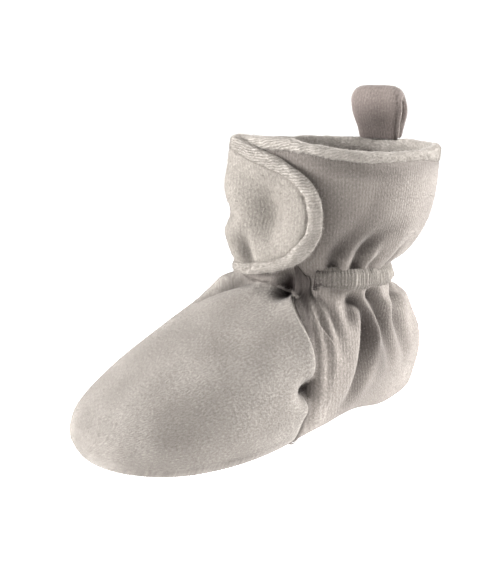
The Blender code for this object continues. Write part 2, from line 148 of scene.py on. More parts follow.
# %% [markdown]
# The paper glows a little, so it stays white. Close round the slipper it glows more, with no lamp under it:
# the paper itself is made to glow there as a light of its own, which fills the shade under the toe and
# the heel. A glow alone would look flat, so one soft panel stands beside the toe and one beside the heel.
# Their light rakes across the folds: one flank of each is lit and the other lies in shade. A weak panel
# hangs above, and a dim sky fills the rest.

# %% Light the paper
PAPER_GLOW = 0.3
GLOW_UNDER_SLIPPER = 2.1
GLOW_UNDER_SLIPPER_RADIUS = 0.11

# Matt paper, bright but not glossy, glowing as a light of its own in a round patch with no lamp, fading out
# under the slipper's edge.
paper, tree = new_material("matt_white_paper")
paper_place = add_node(tree, "ShaderNodeTexCoord")
from_middle = add_node(tree, "ShaderNodeVectorMath", {0: paper_place.outputs["Object"]}, operation="LENGTH")
glow = add_node(tree, "ShaderNodeMapRange", {
    "Value": from_middle.outputs["Value"], "From Min": GLOW_UNDER_SLIPPER_RADIUS, "From Max": 2 * GLOW_UNDER_SLIPPER_RADIUS,
    "To Min": GLOW_UNDER_SLIPPER, "To Max": PAPER_GLOW})
paper_shader = add_node(tree, "ShaderNodeBsdfPrincipled", {
    "Base Color": linear("BEBEBE"), "Roughness": 0.9, "Specular IOR Level": 0.1,
    "Emission Color": linear("FFFFFF"), "Emission Strength": glow.outputs["Result"]})
add_node(tree, "ShaderNodeOutputMaterial", {"Surface": paper_shader.outputs["BSDF"]})
sweep_mesh.materials.append(paper)
print("paper: lamp", 2 * GLOW_UNDER_SLIPPER_RADIUS, "m across")

# %% Hang the panels
Panel = namedtuple("Panel", "name place size watts")
PANEL_AIM = Vector((0, 0, 0.04))
SKY_STRENGTH = 0.05
PANELS = (
    Panel("toe_panel", (-0.65, -1.0, 0.26), 0.45, 50.0),
    Panel("heel_panel", (0.45, 1.06, 0.4), 0.45, 50.0),
    Panel("top_panel", (0.4, -0.1, 1.2), 0.5, 15.0),
)
for panel in PANELS:
    panel_light = bpy.data.lights.new(panel.name, "AREA")
    panel_light.size = panel.size
    panel_light.energy = panel.watts
    panel_object = bpy.data.objects.new(panel.name, panel_light)
    bpy.context.scene.collection.objects.link(panel_object)
    place = Vector(panel.place)
    aim = (PANEL_AIM - place).to_track_quat("-Z", "Y")
    panel_object.matrix_world = Matrix.LocRotScale(place, aim, None)

sky = bpy.data.worlds.new("white_room")
sky.use_nodes = True
sky.node_tree.nodes["Background"].inputs["Color"].default_value = linear("FFFFFF")
sky.node_tree.nodes["Background"].inputs["Strength"].default_value = SKY_STRENGTH
bpy.context.scene.world = sky
bpy.context.scene.view_settings.view_transform = "Standard"
print("studio:", len(PANELS), "panels and a sky of strength", SKY_STRENGTH)

# %% [markdown]
# ## Copies to work on
# A solid from the frame is a bag of loose triangles. Merging its doubles and joining its triangles gives
# back the quads of its sections, and Catmull-Clark subdivision makes them as round as cloth over a foot.
# Subdivision also melts corners, and a thin strip would shrink, so its corners are creased. The subdivision
# is applied, because the folds have to move its finer points.

# %% Copy and round a solid
MERGE_DISTANCE = 0.002 * MM
CORNER_ANGLE = math.radians(38)


def cad_copy(node_name):
    """A bmesh of a solid with its triangles merged and joined into quads."""
    shape = bmesh.new()
    shape.from_mesh(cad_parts[node_name].data)
    bmesh.ops.remove_doubles(shape, verts=shape.verts, dist=MERGE_DISTANCE)
    bmesh.ops.join_triangles(shape, faces=shape.faces, angle_face_threshold=math.pi,
                             angle_shape_threshold=math.pi, topology_influence=1.0)
    return shape


def rounded(shape, levels, keep=0.0):
    """The mesh of a bmesh after subdivision, which melts its corners less the higher keep is."""
    crease = shape.edges.layers.float.new("crease_edge")
    for edge in shape.edges:
        if edge.calc_face_angle(0) > CORNER_ANGLE:
            edge[crease] = keep
    draft_mesh = bpy.data.meshes.new("draft")
    shape.to_mesh(draft_mesh)
    shape.free()
    draft = bpy.data.objects.new("draft", draft_mesh)
    bpy.context.scene.collection.objects.link(draft)
    rounding = draft.modifiers.new("rounding", "SUBSURF")
    rounding.levels = levels
    rounding.render_levels = levels
    result = bpy.data.meshes.new_from_object(draft.evaluated_get(bpy.context.evaluated_depsgraph_get()))
    bpy.data.objects.remove(draft)
    result.materials.clear()
    return result


print("corners sharper than", round(math.degrees(CORNER_ANGLE)), "degrees can be kept")

# %% [markdown]
# The folds are worked out for all points of a mesh at once, as arrays in millimetres, which is many times
# faster than one vertex after another. A dressed mesh then becomes an object that rides on the slipper.

# %% Move points and add pieces
SMOOTHING = 0.5


def points_of(mesh):
    """Vertex places of a mesh as an array, in millimetres."""
    flat = np.empty(len(mesh.vertices) * 3, dtype=np.float32)
    mesh.vertices.foreach_get("co", flat)
    return flat.reshape(-1, 3).astype(float) / MM


def normals_of(mesh):
    """Vertex normals of a mesh as an array."""
    flat = np.empty(len(mesh.vertices) * 3, dtype=np.float32)
    mesh.vertex_normals.foreach_get("vector", flat)
    return flat.reshape(-1, 3).astype(float)


def set_points(mesh, points):
    """Moves the vertices of a mesh to an array of places in millimetres."""
    mesh.vertices.foreach_set("co", (points * MM).astype(np.float32).ravel())
    mesh.update()


def soften(mesh, rounds, chosen=None):
    """Smooths all or the chosen points of a mesh, as the padding under cloth does."""
    shape = bmesh.new()
    shape.from_mesh(mesh)
    verts = [vert for vert in shape.verts if chosen is None or chosen[vert.index]]
    for _ in range(rounds):
        bmesh.ops.smooth_vert(shape, verts=verts, factor=SMOOTHING,
                              use_axis_x=True, use_axis_y=True, use_axis_z=True)
    shape.to_mesh(mesh)
    shape.free()
    mesh.update()


def add_piece(name, mesh, nodes, finishes):
    """Makes a dressed mesh an object that rides on the slipper and stands for its solids."""
    mesh.name = name
    mesh.shade_smooth()
    for finish in finishes:
        mesh.materials.append(finish)
    piece = bpy.data.objects.new(name, mesh)
    bpy.context.scene.collection.objects.link(piece)
    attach(piece, "root")
    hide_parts(*nodes)
    print(name, "has", sum(len(face.vertices) - 2 for face in mesh.polygons), "triangles")
    return piece


# %% [markdown]
# ## Folds and dents
# Elastic and seams press creases into cloth, and the cloth between them swells into round ridges. A fold is
# written as a curve through three places on the slipper, in millimetres, with its depth at each of them and
# its width at both ends. Its trough is narrow at the bottom and spreads at the top, as a crease in a padded
# cloth does. A dent is a round hollow, or with a negative depth a swelling.

# %% Fold and dent helpers
Fold = namedtuple("Fold", "name start middle end depths widths")
Dent = namedtuple("Dent", "name centre radii depth")
FOLD_STEPS = 48
FAR_WIDTHS = 6
TROUGH_REACH = 3.0
RIDGE_SHARE = 0.13
RIDGE_OFFSET = 2.8
RIDGE_WIDTH = 1.3
SEED_STEP = (17.3, 5.1, 9.7)


def fold_push(points, fold):
    """How far a fold moves each point outwards, in millimetres."""
    along = np.linspace(0, 1, FOLD_STEPS)
    bend = np.stack([(1 - along) * (1 - 2 * along), 4 * along * (1 - along), along * (2 * along - 1)])
    path = bend.T @ np.array([fold.start, fold.middle, fold.end])
    depths = np.interp(along, (0, 0.5, 1), fold.depths)
    widths = np.interp(along, (0, 1), fold.widths)
    far = np.linalg.norm(path[-1] - path[0]) + FAR_WIDTHS * max(fold.widths)
    near = np.nonzero(np.linalg.norm(points - path[FOLD_STEPS // 2], axis=1) < far)[0]
    gaps = np.linalg.norm(points[near, None, :] - path[None, :, :], axis=2)
    closest = gaps.argmin(axis=1)
    reach = gaps.min(axis=1) / widths[closest]
    trough = np.exp(-(reach / TROUGH_REACH) ** 2) / (1 + reach**2)
    ridge = RIDGE_SHARE * np.exp(-((reach - RIDGE_OFFSET) / RIDGE_WIDTH) ** 2)
    push = np.zeros(len(points))
    push[near] = depths[closest] * (ridge - trough)
    return push


def dent_push(points, dent):
    """How far a dent moves each point outwards, in millimetres."""
    reach = np.linalg.norm((points - np.array(dent.centre)) / np.array(dent.radii), axis=1)
    return -dent.depth * np.exp(-reach**2)


def ripple(points, lift, size, seed):
    """Smooth noise between about -lift and lift at each point, with bumps of that size in millimetres."""
    shift = Vector([seed * step for step in SEED_STEP])
    return lift * np.array([noise.noise(Vector(point) / size + shift) for point in points])


def ease(values, low, high):
    """A smooth step from 0 at low to 1 at high."""
    share = np.clip((values - low) / (high - low), 0, 1)
    return share * share * (3 - 2 * share)


test_fold = Fold("test", (-9, 0, 0), (0, 0, 0), (9, 0, 0), (1, 1, 1), (2, 2))
print("a fold of depth 1 moves its middle by", fold_push(np.zeros((1, 3)), test_fold).round(2))

# %% [markdown]
# ## Cloth coordinates
# Velour is knitted, so its pile lies in fine ribs that run one way. To follow them a material needs to
# know where it is on the cloth: how far round and how far along, in millimetres. Most pieces wrap round
# the leg, so their cloth is measured by the turn about an upright axis. The toe piece is cut the other
# way, with its ribs running from the toe to the ankle, and is measured by the turn about the foot.

# %% Lay cloth coordinates on a mesh
LEG_AXIS = (0.0, 28.0)
LEG_RADIUS = 30.0
FOOT_AXIS_HEIGHT = 4.0
FOOT_RADIUS = 30.0
LEAST_RISE = 0.5


def leg_turn(points):
    """Turn about the leg's axis, 0 at the front and positive on the outer side."""
    return np.arctan2(points[:, 0], LEG_AXIS[1] - points[:, 1])


def leg_cloth(points):
    """Cloth coordinates of what wraps round the leg."""
    return np.stack([leg_turn(points) * LEG_RADIUS, points[:, 2]], axis=1)


def toe_cloth(points):
    """Cloth coordinates of the toe piece."""
    turn = np.arctan2(points[:, 0], np.maximum(points[:, 2] - FOOT_AXIS_HEIGHT, LEAST_RISE))
    return np.stack([turn * FOOT_RADIUS, points[:, 1]], axis=1)


def lay_cloth(mesh, cloth, period=2 * math.pi * LEG_RADIUS):
    """Writes cloth coordinates, one pair for each vertex or corner, as the UV map named cloth."""
    corner_vertices = np.empty(len(mesh.loops), dtype=np.int32)
    mesh.loops.foreach_get("vertex_index", corner_vertices)
    corners = cloth[corner_vertices] if len(cloth) == len(mesh.vertices) else cloth
    starts = np.empty(len(mesh.polygons), dtype=np.int32)
    mesh.polygons.foreach_get("loop_start", starts)
    counts = np.empty(len(mesh.polygons), dtype=np.int32)
    mesh.polygons.foreach_get("loop_total", counts)
    highest = np.repeat(np.maximum.reduceat(corners[:, 0], starts), counts)
    wraps = highest - corners[:, 0] > period / 2
    corners = corners.copy()
    corners[wraps, 0] += period
    layer = mesh.uv_layers.new(name="cloth")
    layer.data.foreach_set("uv", corners.astype(np.float32).ravel())


def write_shares(mesh, name, shares):
    """Writes a share from 0 to 1 for each vertex as an attribute that the materials read."""
    layer = mesh.attributes.new(name, "FLOAT", "POINT")
    layer.data.foreach_set("value", np.clip(shares, 0, 1).astype(np.float32))


print("ribs round the leg are measured over", round(2 * math.pi * LEG_RADIUS), "mm")

# %% [markdown]
# ## Velour
# Polyester velour is a knit with a short cut pile. Seen from above one looks between the fibres into
# shade, and seen at a slant the fibre tips catch the light, so every rounded edge has a pale bloom: that
# is sheen. Stroked one way or the other the pile turns lighter or darker in soft patches. Up close the
# pile stands in little locks along the knitted ribs. The locks are about a third of a millimetre on the
# real cloth, and are drawn here nearly a millimetre long, because finer ones would not show. Two attributes
# on the meshes steer the finish. One is painted shade: where it is high, in creases, pits, grooves and
# places that another part shades, the colour is mixed towards almost black. Where the pile is brushed
# over the ribs, "flattened" fades them.

# %% Velour material
PATCH_MM = 16.0
LOCK_WIDE_MM = 0.48
LOCK_LONG_MM = 0.85
GRAIN_MM = 0.4
PILE_DEPTH = 0.3 * MM
PILE_BUMP = 0.75
RIB_WANDER = 2.5
GRAIN_SHARE = 0.35
PATCH_SHARE = 0.6
GROUND_LEVEL = 0.5
TIP_LEVEL = 1.45
PAINTED_SHADE_COLOUR = "1C1514"
BLOOM = "F2EEE9"
MIX_FIRST = 6
MIX_SECOND = 7
MIX_RESULT = 2


def velour(name, ground, middle, tips, rib_mm=1.05, rib_share=0.1, sheen=0.16):
    """Napped velour whose locks follow the cloth coordinates, ribbed every rib_mm millimetres."""
    made, tree = new_material(name)
    cloth = add_node(tree, "ShaderNodeUVMap", uv_map="cloth")
    place = add_node(tree, "ShaderNodeTexCoord")
    patches = add_node(tree, "ShaderNodeTexNoise", {
        "Vector": place.outputs["Object"], "Scale": 1 / (PATCH_MM * MM), "Detail": 2.0, "Roughness": 0.5})
    turned = add_node(tree, "ShaderNodeMapping", {
        "Vector": cloth.outputs["UV"], "Scale": (1 / LOCK_WIDE_MM, 1 / LOCK_LONG_MM, 1)})
    locks = add_node(tree, "ShaderNodeTexNoise", {
        "Vector": turned.outputs["Vector"], "Scale": 1.0, "Detail": 2.0, "Roughness": 0.55})
    grain = add_node(tree, "ShaderNodeTexNoise", {
        "Vector": place.outputs["Object"], "Scale": 1 / (GRAIN_MM * MM), "Detail": 1.0})
    across = add_node(tree, "ShaderNodeSeparateXYZ", {"Vector": cloth.outputs["UV"]})
    wander = add_node(tree, "ShaderNodeMath", {
        0: locks.outputs["Fac"], 1: RIB_WANDER}, operation="MULTIPLY")
    phase = add_node(tree, "ShaderNodeMath", {
        0: across.outputs["X"], 1: 2 * math.pi / rib_mm, 2: wander.outputs["Value"]},
        operation="MULTIPLY_ADD")
    rib = add_node(tree, "ShaderNodeMath", {0: phase.outputs["Value"]}, operation="SINE")
    flattened = add_node(tree, "ShaderNodeAttribute", attribute_name="flattened")
    rib_height = add_node(tree, "ShaderNodeMapRange", {
        "Value": flattened.outputs["Fac"], "To Min": rib_share / 2, "To Max": 0.0})
    relief = add_node(tree, "ShaderNodeMath", {
        0: rib.outputs["Value"], 1: rib_height.outputs["Result"], 2: locks.outputs["Fac"]},
        operation="MULTIPLY_ADD")
    pile = add_node(tree, "ShaderNodeMath", {
        0: grain.outputs["Fac"], 1: GRAIN_SHARE, 2: relief.outputs["Value"]}, operation="MULTIPLY_ADD")
    stroked = add_node(tree, "ShaderNodeMath", {
        0: patches.outputs["Fac"], 1: PATCH_SHARE, 2: pile.outputs["Value"]}, operation="MULTIPLY_ADD")
    shade = add_node(tree, "ShaderNodeMapRange", {
        "Value": stroked.outputs["Value"], "From Min": GROUND_LEVEL, "From Max": TIP_LEVEL})
    colours = add_node(tree, "ShaderNodeValToRGB", {"Fac": shade.outputs["Result"]})
    ramp = colours.color_ramp
    ramp.elements[0].color = linear(ground)
    ramp.elements[1].color = linear(tips)
    ramp.elements.new(0.5).color = linear(middle)
    # Painted shade: the attribute mixes the colour towards an almost black brown, for the shade in creases,
    # pits and grooves.
    painted_shade = add_node(tree, "ShaderNodeAttribute", attribute_name="painted_shade")
    shade_mixed = add_node(tree, "ShaderNodeMix", {
        "Factor": painted_shade.outputs["Fac"], MIX_FIRST: colours.outputs["Color"],
        MIX_SECOND: linear(PAINTED_SHADE_COLOUR)}, data_type="RGBA")
    bump = add_node(tree, "ShaderNodeBump", {
        "Height": pile.outputs["Value"], "Strength": PILE_BUMP, "Distance": PILE_DEPTH})
    shader = add_node(tree, "ShaderNodeBsdfPrincipled", {
        "Base Color": shade_mixed.outputs[MIX_RESULT], "Roughness": 0.9, "Specular IOR Level": 0.15,
        "Sheen Weight": sheen, "Sheen Roughness": 0.35, "Sheen Tint": linear(BLOOM),
        "Normal": bump.outputs["Normal"]})
    add_node(tree, "ShaderNodeOutputMaterial", {"Surface": shader.outputs["BSDF"]})
    print("material", name)
    return made


print("a lock of pile is", LOCK_LONG_MM, "mm long and", LOCK_WIDE_MM, "mm wide")

# %% [markdown]
# One cloth looks different from place to place. On the toe it is smooth, and on the leg its ribs show. The
# hems are palest, because the pile stands open over a tight fold, and their ribs twist into strands. The
# lining is browner and has less bloom, and the sole is painted darker, for the shade it lies in.

# %% Mix the velours
HEM_STRAND = 0.95
toe_velour = velour("velour_taupe_toe", "57524D", "716C67", "938E88", rib_share=0.05)
leg_velour = velour("velour_taupe_ribbed", "56504C", "6D6762", "8B857F", rib_share=0.14)
hem_velour = velour("velour_taupe_hem", "625D57", "827D77", "AAA59F", rib_mm=HEM_STRAND, rib_share=0.55)
flap_velour = velour("velour_taupe_flap", "5B5651", "736E68", "918C85", rib_share=0.12)
lining_velour = velour("velour_taupe_lining", "5E5351", "756966", "8F827D", rib_share=0.1, sheen=0.1)
sole_velour = velour("velour_taupe_sole", "484440", "5A5652", "6C6762", rib_share=0.05, sheen=0.1)

# %% [markdown]
# ## The upper
# The upper is one velour shell: the toe piece at the front, the gathered quarter round the heel, and the
# cuff above the ankle. In the solid its gathers are even waves. They are eased out first, by smoothing
# their points, and the true folds are pressed in after that: long ones that curve from the ankle casing
# down to the sole, short ones that rise into the cuff, and the pinches where the toe piece is sewn on.

# %% Tell outside from inside
SHELL_AXIS = ((0.0, -50.0, 10.0), (0.0, 8.0, 18.0), (0.0, 24.0, 40.0), (0.0, 26.0, 50.0), (0.0, 32.0, 92.0))


def away_from_axis(points):
    """Unit direction from the nearest place on the shell's own axis to each point."""
    best = np.full(len(points), np.inf)
    away = np.zeros_like(points)
    for start, end in zip(SHELL_AXIS, SHELL_AXIS[1:]):
        start = np.array(start)
        run = np.array(end) - start
        share = np.clip((points - start) @ run / (run @ run), 0, 1)
        offset = points - start - share[:, None] * run
        length = np.linalg.norm(offset, axis=1)
        closer = length < best
        best[closer] = length[closer]
        away[closer] = offset[closer] / length[closer, None]
    return away


def faces_out(points, normals):
    """True where a surface looks away from the shell's axis, as the outside of the upper does."""
    return np.einsum("ij,ij->i", away_from_axis(points), normals) > 0


print("the shell's axis bends at", len(SHELL_AXIS) - 2, "places")

# %% Ease the even gathers out
EASE_ROUNDS = 3
EASE_SHARE = 0.5
EASE_HEIGHTS = ((13.0, 39.0), (58.0, 80.0))
QUARTER_START = 7.0
FILL_OUT = 0.6 * MM

upper_shape = cad_copy("upper")
upper_shape.verts.ensure_lookup_table()
places = np.array([vertex.co for vertex in upper_shape.verts]) / MM
facing = np.array([vertex.normal for vertex in upper_shape.verts])
outside = faces_out(places, facing)
gathered = []
for vertex, place, is_outside in zip(upper_shape.verts, places, outside):
    in_gathers = any(low < place[2] < high for low, high in EASE_HEIGHTS)
    if is_outside and in_gathers and place[1] > QUARTER_START:
        gathered.append(vertex)
for _ in range(EASE_ROUNDS):
    bmesh.ops.smooth_vert(upper_shape, verts=gathered, factor=EASE_SHARE,
                          use_axis_x=True, use_axis_y=True, use_axis_z=False)
upper_shape.normal_update()
for vertex in gathered:
    vertex.co += vertex.normal * FILL_OUT
print("eased", len(gathered), "points of the gathers")

# %% [markdown]
# Cloth that is sewn to a padded sole rolls in under its edge, so the lower rim of the shell is drawn down
# past the sole. The seam behind the toe piece slides forwards towards the sole, and the collar rises in
# front: CollarLine gives, for some turns round the leg, how far its seam and its top edge are lifted.

# %% Draw the lines of the upper
SEAM_LINE = ((48.7, 0.0), (44.5, 0.7), (39.3, -1.5), (32.9, -3.2), (21.0, -3.8), (6.0, -5.9))
FLOOR_LINE = ((-68, 2.4), (-60, 1.4), (-50, 0.8), (4, 0.8), (20, 2.2), (36, 0.0), (62, 0.0), (68, 0.8))
CollarLine = namedtuple("CollarLine", "degrees seam_lift top_lift")
COLLAR_LINES = (
    CollarLine(-180, 0.0, 0.0),
    CollarLine(-95, 0.3, 0.0),
    CollarLine(-60, 2.0, 1.0),
    CollarLine(-20, 4.6, 2.6),
    CollarLine(25, 4.6, 2.6),
    CollarLine(34, 4.2, 1.4),
    CollarLine(50, 2.7, 0.1),
    CollarLine(72, 1.1, -1.0),
    CollarLine(95, 0.3, -1.3),
    CollarLine(115, 0.3, -1.6),
    CollarLine(140, 0.0, -0.3),
    CollarLine(180, 0.0, 0.0),
)
seam_heights = [height for height, _ in reversed(SEAM_LINE)]
seam_places = [place for _, place in reversed(SEAM_LINE)]
floor_rows = [row for row, _ in FLOOR_LINE]
floor_heights = [height for _, height in FLOOR_LINE]
print("the seam is drawn through", len(SEAM_LINE), "places and the collar through", len(COLLAR_LINES))

# %% Settle the upper
ANKLE_HEIGHT = 48.0
ROLL_UNDER = 2.5
ROLL_START = 8.5
ROLL_FADE = 5.0
SEAM_SLIDE = 4.2
SLIDE_PLACE = -3.0
SLIDE_WIDTH = 9.0
SLIDE_FOOT = 5.0
SLIDE_TOP = 37.0
ARCH_PLACE = 8.0
ARCH_LENGTH = 20.0
ARCH_LIFT = 2.2
ARCH_SIDES = (0.0, 24.0)
ARCH_HEIGHTS = (4.0, 16.0)
LIFT_HEIGHTS = (66.0, 84.0)
TUCK_IN = 1.6
TUCK_HEIGHTS = (78.0, 84.0)


def in_front_of_seam(points):
    """True on the toe piece."""
    before_seam = points[:, 1] < np.interp(points[:, 2], seam_heights, seam_places)
    return before_seam & (points[:, 2] < ANKLE_HEIGHT)


def roll_under(points):
    """Draws the lower rim of the shell down past the edge of the sole."""
    height = points[:, 2] - np.interp(points[:, 1], floor_rows, floor_heights)
    moved = points.copy()
    moved[:, 2] -= ROLL_UNDER * (1 - ease(height, ROLL_START - ROLL_FADE, ROLL_START))
    return moved


def slide_seam(points):
    """Slides the seam behind the toe piece forwards, the more the nearer it is to the sole."""
    moved = points.copy()
    low = ease(-points[:, 2], -SLIDE_TOP, -SLIDE_FOOT)
    moved[:, 1] -= SEAM_SLIDE * low * np.exp(-((points[:, 1] - SLIDE_PLACE) / SLIDE_WIDTH) ** 2)
    return moved


def lift_arch(points):
    """Lifts the lower edge of the outer side a little off the floor, under the arch of the foot."""
    moved = points.copy()
    arch = np.exp(-((points[:, 1] - ARCH_PLACE) / ARCH_LENGTH) ** 2) * ease(points[:, 0], *ARCH_SIDES)
    moved[:, 2] += ARCH_LIFT * arch * (1 - ease(points[:, 2], *ARCH_HEIGHTS))
    return moved


def collar_lift(points, edge):
    """How far the collar's seam or its top edge is lifted at each point."""
    turns = [math.radians(line.degrees) for line in COLLAR_LINES]
    return np.interp(leg_turn(points), turns, [getattr(line, edge) for line in COLLAR_LINES])


upper_mesh = rounded(upper_shape, levels=2, keep=0.6)
points = points_of(upper_mesh)
outside = faces_out(points, normals_of(upper_mesh))
on_toe = in_front_of_seam(points)
points = lift_arch(slide_seam(roll_under(points)))
points[:, 2] += collar_lift(points, "seam_lift") * ease(points[:, 2], *LIFT_HEIGHTS)
points[:, 2] += TUCK_IN * ease(points[:, 2], *TUCK_HEIGHTS)
print("settled", len(points), "points,", on_toe.sum(), "of them on the toe piece")

# %% List the folds of the upper
UPPER_FOLDS = (
    Fold("strip crease", (18.1, 5.5, 46.7), (29.2, 3.3, 29.5), (30.2, 0.5, 9), (2.2, 2.3, 1.2), (1, 1.1)),
    Fold("seam tuck", (20.5, 7.5, 44.7), (26.6, 8.6, 37.7), (29.4, 9.5, 25), (2.3, 3.1, 0), (1.2, 1.6)),
    Fold("first trough", (23.7, 16.7, 43.5), (25.4, 15.9, 40), (27.3, 14.5, 31), (2.6, 4, 0), (1.2, 2)),
    Fold("deep trough", (24.6, 18.5, 42.4), (27.8, 22.6, 32), (28, 13, 10), (5, 10, 1.2), (1.2, 1.8)),
    Fold("back trough", (23.9, 26.2, 43.1), (25.4, 31.5, 33), (25, 35.6, 16), (5.2, 5.4, 0.5), (1.5, 2.4)),
    Fold("heel trough", (17.5, 40.5, 41.5), (23.2, 40.6, 31), (21.2, 47, 15), (4.7, 4.2, 0.2), (1.5, 2.8)),
    Fold("far heel trough", (7, 48.5, 41), (10.5, 56.5, 30), (11, 60.5, 16), (4.4, 3.9, 0.2), (1.6, 2.8)),
    Fold("middle heel trough", (-5, 49, 41), (-6, 59, 30), (-4, 62, 15), (4.4, 3.9, 0.2), (1.6, 2.8)),
    Fold("inner heel trough", (-15, 43, 41.5), (-19.5, 46, 30), (-19, 50, 15), (4.4, 4.4, 0.2), (1.6, 2.8)),
    Fold("inner back trough", (-22.8, 30, 43), (-26, 33, 32), (-25.5, 31, 14), (4.7, 4.9, 0.3), (1.6, 2.6)),
    Fold("inner deep trough", (-24.2, 19, 43.5), (-27.6, 20, 31), (-28.5, 14, 11),
         (4.4, 5.7, 0.4), (1.5, 2.4)),
    Fold("inner seam tuck", (-19.8, 6.5, 44.7), (-26.8, 9.5, 37), (-29.5, 9, 25), (1.6, 2.4, 0), (1.3, 1.8)),
    Fold("cuff trough", (22.6, 10.6, 54.8), (25.6, 11.2, 60), (30.5, 19.5, 70), (7, 4.6, 0.8), (1.2, 3.8)),
    Fold("cuff back trough", (24.3, 18.7, 53.8), (28.7, 21.6, 61.2), (29.6, 35, 65),
         (5.4, 4.6, 0.3), (1.3, 3)),
    Fold("cuff pucker", (25, 24, 53.4), (26.8, 26, 56.5), (28.6, 28.5, 59.5), (2.8, 2, 0), (0.9, 1.5)),
    Fold("cuff heel pucker", (22.5, 33, 52.5), (24.6, 36, 55.5), (26.4, 40, 60), (3, 2.2, 0), (1, 1.6)),
    Fold("cuff heel trough", (13, 44.5, 51), (16, 50.5, 55.5), (15, 59, 63), (3.6, 2.8, 0), (1.3, 2.6)),
    Fold("cuff middle trough", (-3, 48, 50.5), (-4, 56, 55), (-2, 64, 64), (3.6, 2.8, 0), (1.3, 2.6)),
    Fold("cuff inner heel trough", (-16, 42, 51), (-21, 47, 56), (-22, 54, 65), (3.6, 3, 0), (1.3, 2.6)),
    Fold("cuff inner trough", (-24, 26, 53), (-28, 28, 59), (-30, 38, 66), (4, 3.2, 0), (1.3, 2.8)),
    Fold("cuff inner front trough", (-23, 12, 54.5), (-26.5, 12, 60.5), (-30.5, 19, 68),
         (4, 3.4, 0.3), (1.3, 3.2)),
    Fold("ankle crease", (-21.5, -16, 36), (-11.8, -5.3, 42.6), (-3, -2.3, 47.2), (2, 5, 1.5), (1.1, 1.6)),
    Fold("vamp crest", (-21, -18, 35), (-5.3, -12.1, 40.8), (2, -5, 46), (-0.5, -1.2, -1), (3, 2.4)),
)
UPPER_DENTS = (
    Dent("seam pinch", (31, -6.9, 20.7), (9, 3.3, 3.2), 8.5),
    Dent("flap pinch", (12.6, -1.8, 48.9), (3.4, 3.2, 3.4), 9),
    Dent("inner seam pinch", (-31, -7.2, 22), (9, 3, 2.7), 6.5),
    Dent("ankle side", (19, 3, 50), (5, 5, 5), 2.2),
    Dent("under the flap", (4, -3, 69), (14, 9, 15), 9),
    Dent("ankle roll", (-14.5, -3, 45), (7, 4.5, 3.4), -1.4),
    Dent("toe hollow", (14, -46, 24), (14, 10, 9), 0.7),
    Dent("vamp swell", (20, -18, 30), (12, 12, 12), -0.8),
    Dent("cuff hollow", (31.5, 20, 76), (6, 12, 8), 1.2),
)
SEAM_ROLL = Fold("roll", (14, 1.5, 49), (28.9, -3.1, 31.3), (30.8, -8.6, 7), (-1, -1.6, -0.8), (2.6, 2.6))
SEAM_GUTTER = Fold("gutter", (15.5, 3.4, 48.2), (29, -1, 31.3), (30.6, -6.2, 7), (2.8, 3, 2), (1.9, 1.9))


def mirrored(fold):
    """The same fold on the inner side of the foot."""
    start, middle, end = ((-x, y, z) for x, y, z in (fold.start, fold.middle, fold.end))
    return fold._replace(start=start, middle=middle, end=end)


print("the upper has", len(UPPER_FOLDS), "folds and", len(UPPER_DENTS), "dents and swellings")

# %% [markdown]
# A fold goes through the whole wall, so a point of the lining moves as the outside above it does. The toe
# piece rolls over the seam behind it, and the cloth behind the seam sinks into a gutter. The elastic draws
# the waist in, and the cuff above it and the heel below it bulge.

# %% Work out how far the folds move the upper
WALL = 3.0
CASING_FRONT = (-2.6, 50.8)
CASING_BACK = (49.0, 45.8)
HEEL_ROWS = (26.0, 42.0)
CUFF_ROWS = (4.0, 10.0)
FOLDS_BEGIN = (2.0, 8.0)
FOLDS_END = (80.0, 85.0)
Bulge = namedtuple("Bulge", "over_casing spread push")
CUFF_BULGE = Bulge(7.2, 2.4, 1.2)
WAIST_DRAW = Bulge(2.5, 4.0, -1.4)
HEEL_BULGE = Bulge(-8.5, 5.0, 1.2)


def casing_middle(points):
    """Height of the middle line of the ankle casing, which dips towards the heel."""
    return np.interp(points[:, 1], (CASING_FRONT[0], CASING_BACK[0]), (CASING_FRONT[1], CASING_BACK[1]))


def bulge_push(points, bulge):
    """How far a level bulge above or below the casing moves each point outwards."""
    over_casing = points[:, 2] - casing_middle(points)
    return bulge.push * np.exp(-((over_casing - bulge.over_casing) / bulge.spread) ** 2)


outward = away_from_axis(points)
surface = np.where(outside[:, None], points, points + outward * WALL)
push = sum(fold_push(surface, fold) for fold in UPPER_FOLDS)
push += sum(dent_push(surface, dent) for dent in UPPER_DENTS)
for roll in (SEAM_ROLL, mirrored(SEAM_ROLL)):
    push += np.where(on_toe & outside, fold_push(points, roll), 0.0)
for gutter in (SEAM_GUTTER, mirrored(SEAM_GUTTER)):
    push += np.where(on_toe, 0.0, fold_push(surface, gutter))
uneven = ripple(points, lift=0.22, size=9.0, seed=1) + ripple(points, lift=0.1, size=3.5, seed=2)
push += np.where(outside, uneven, 0.0)
at_heel = ease(points[:, 1], *HEEL_ROWS)
push += ease(points[:, 1], *CUFF_ROWS) * bulge_push(points, CUFF_BULGE)
push += at_heel * (bulge_push(points, WAIST_DRAW) + bulge_push(points, HEEL_BULGE))
push *= ease(points[:, 2], *FOLDS_BEGIN) * (1 - ease(points[:, 2], *FOLDS_END))
print("the folds move the upper by", push.min().round(1), "to", push.max().round(1), "mm")
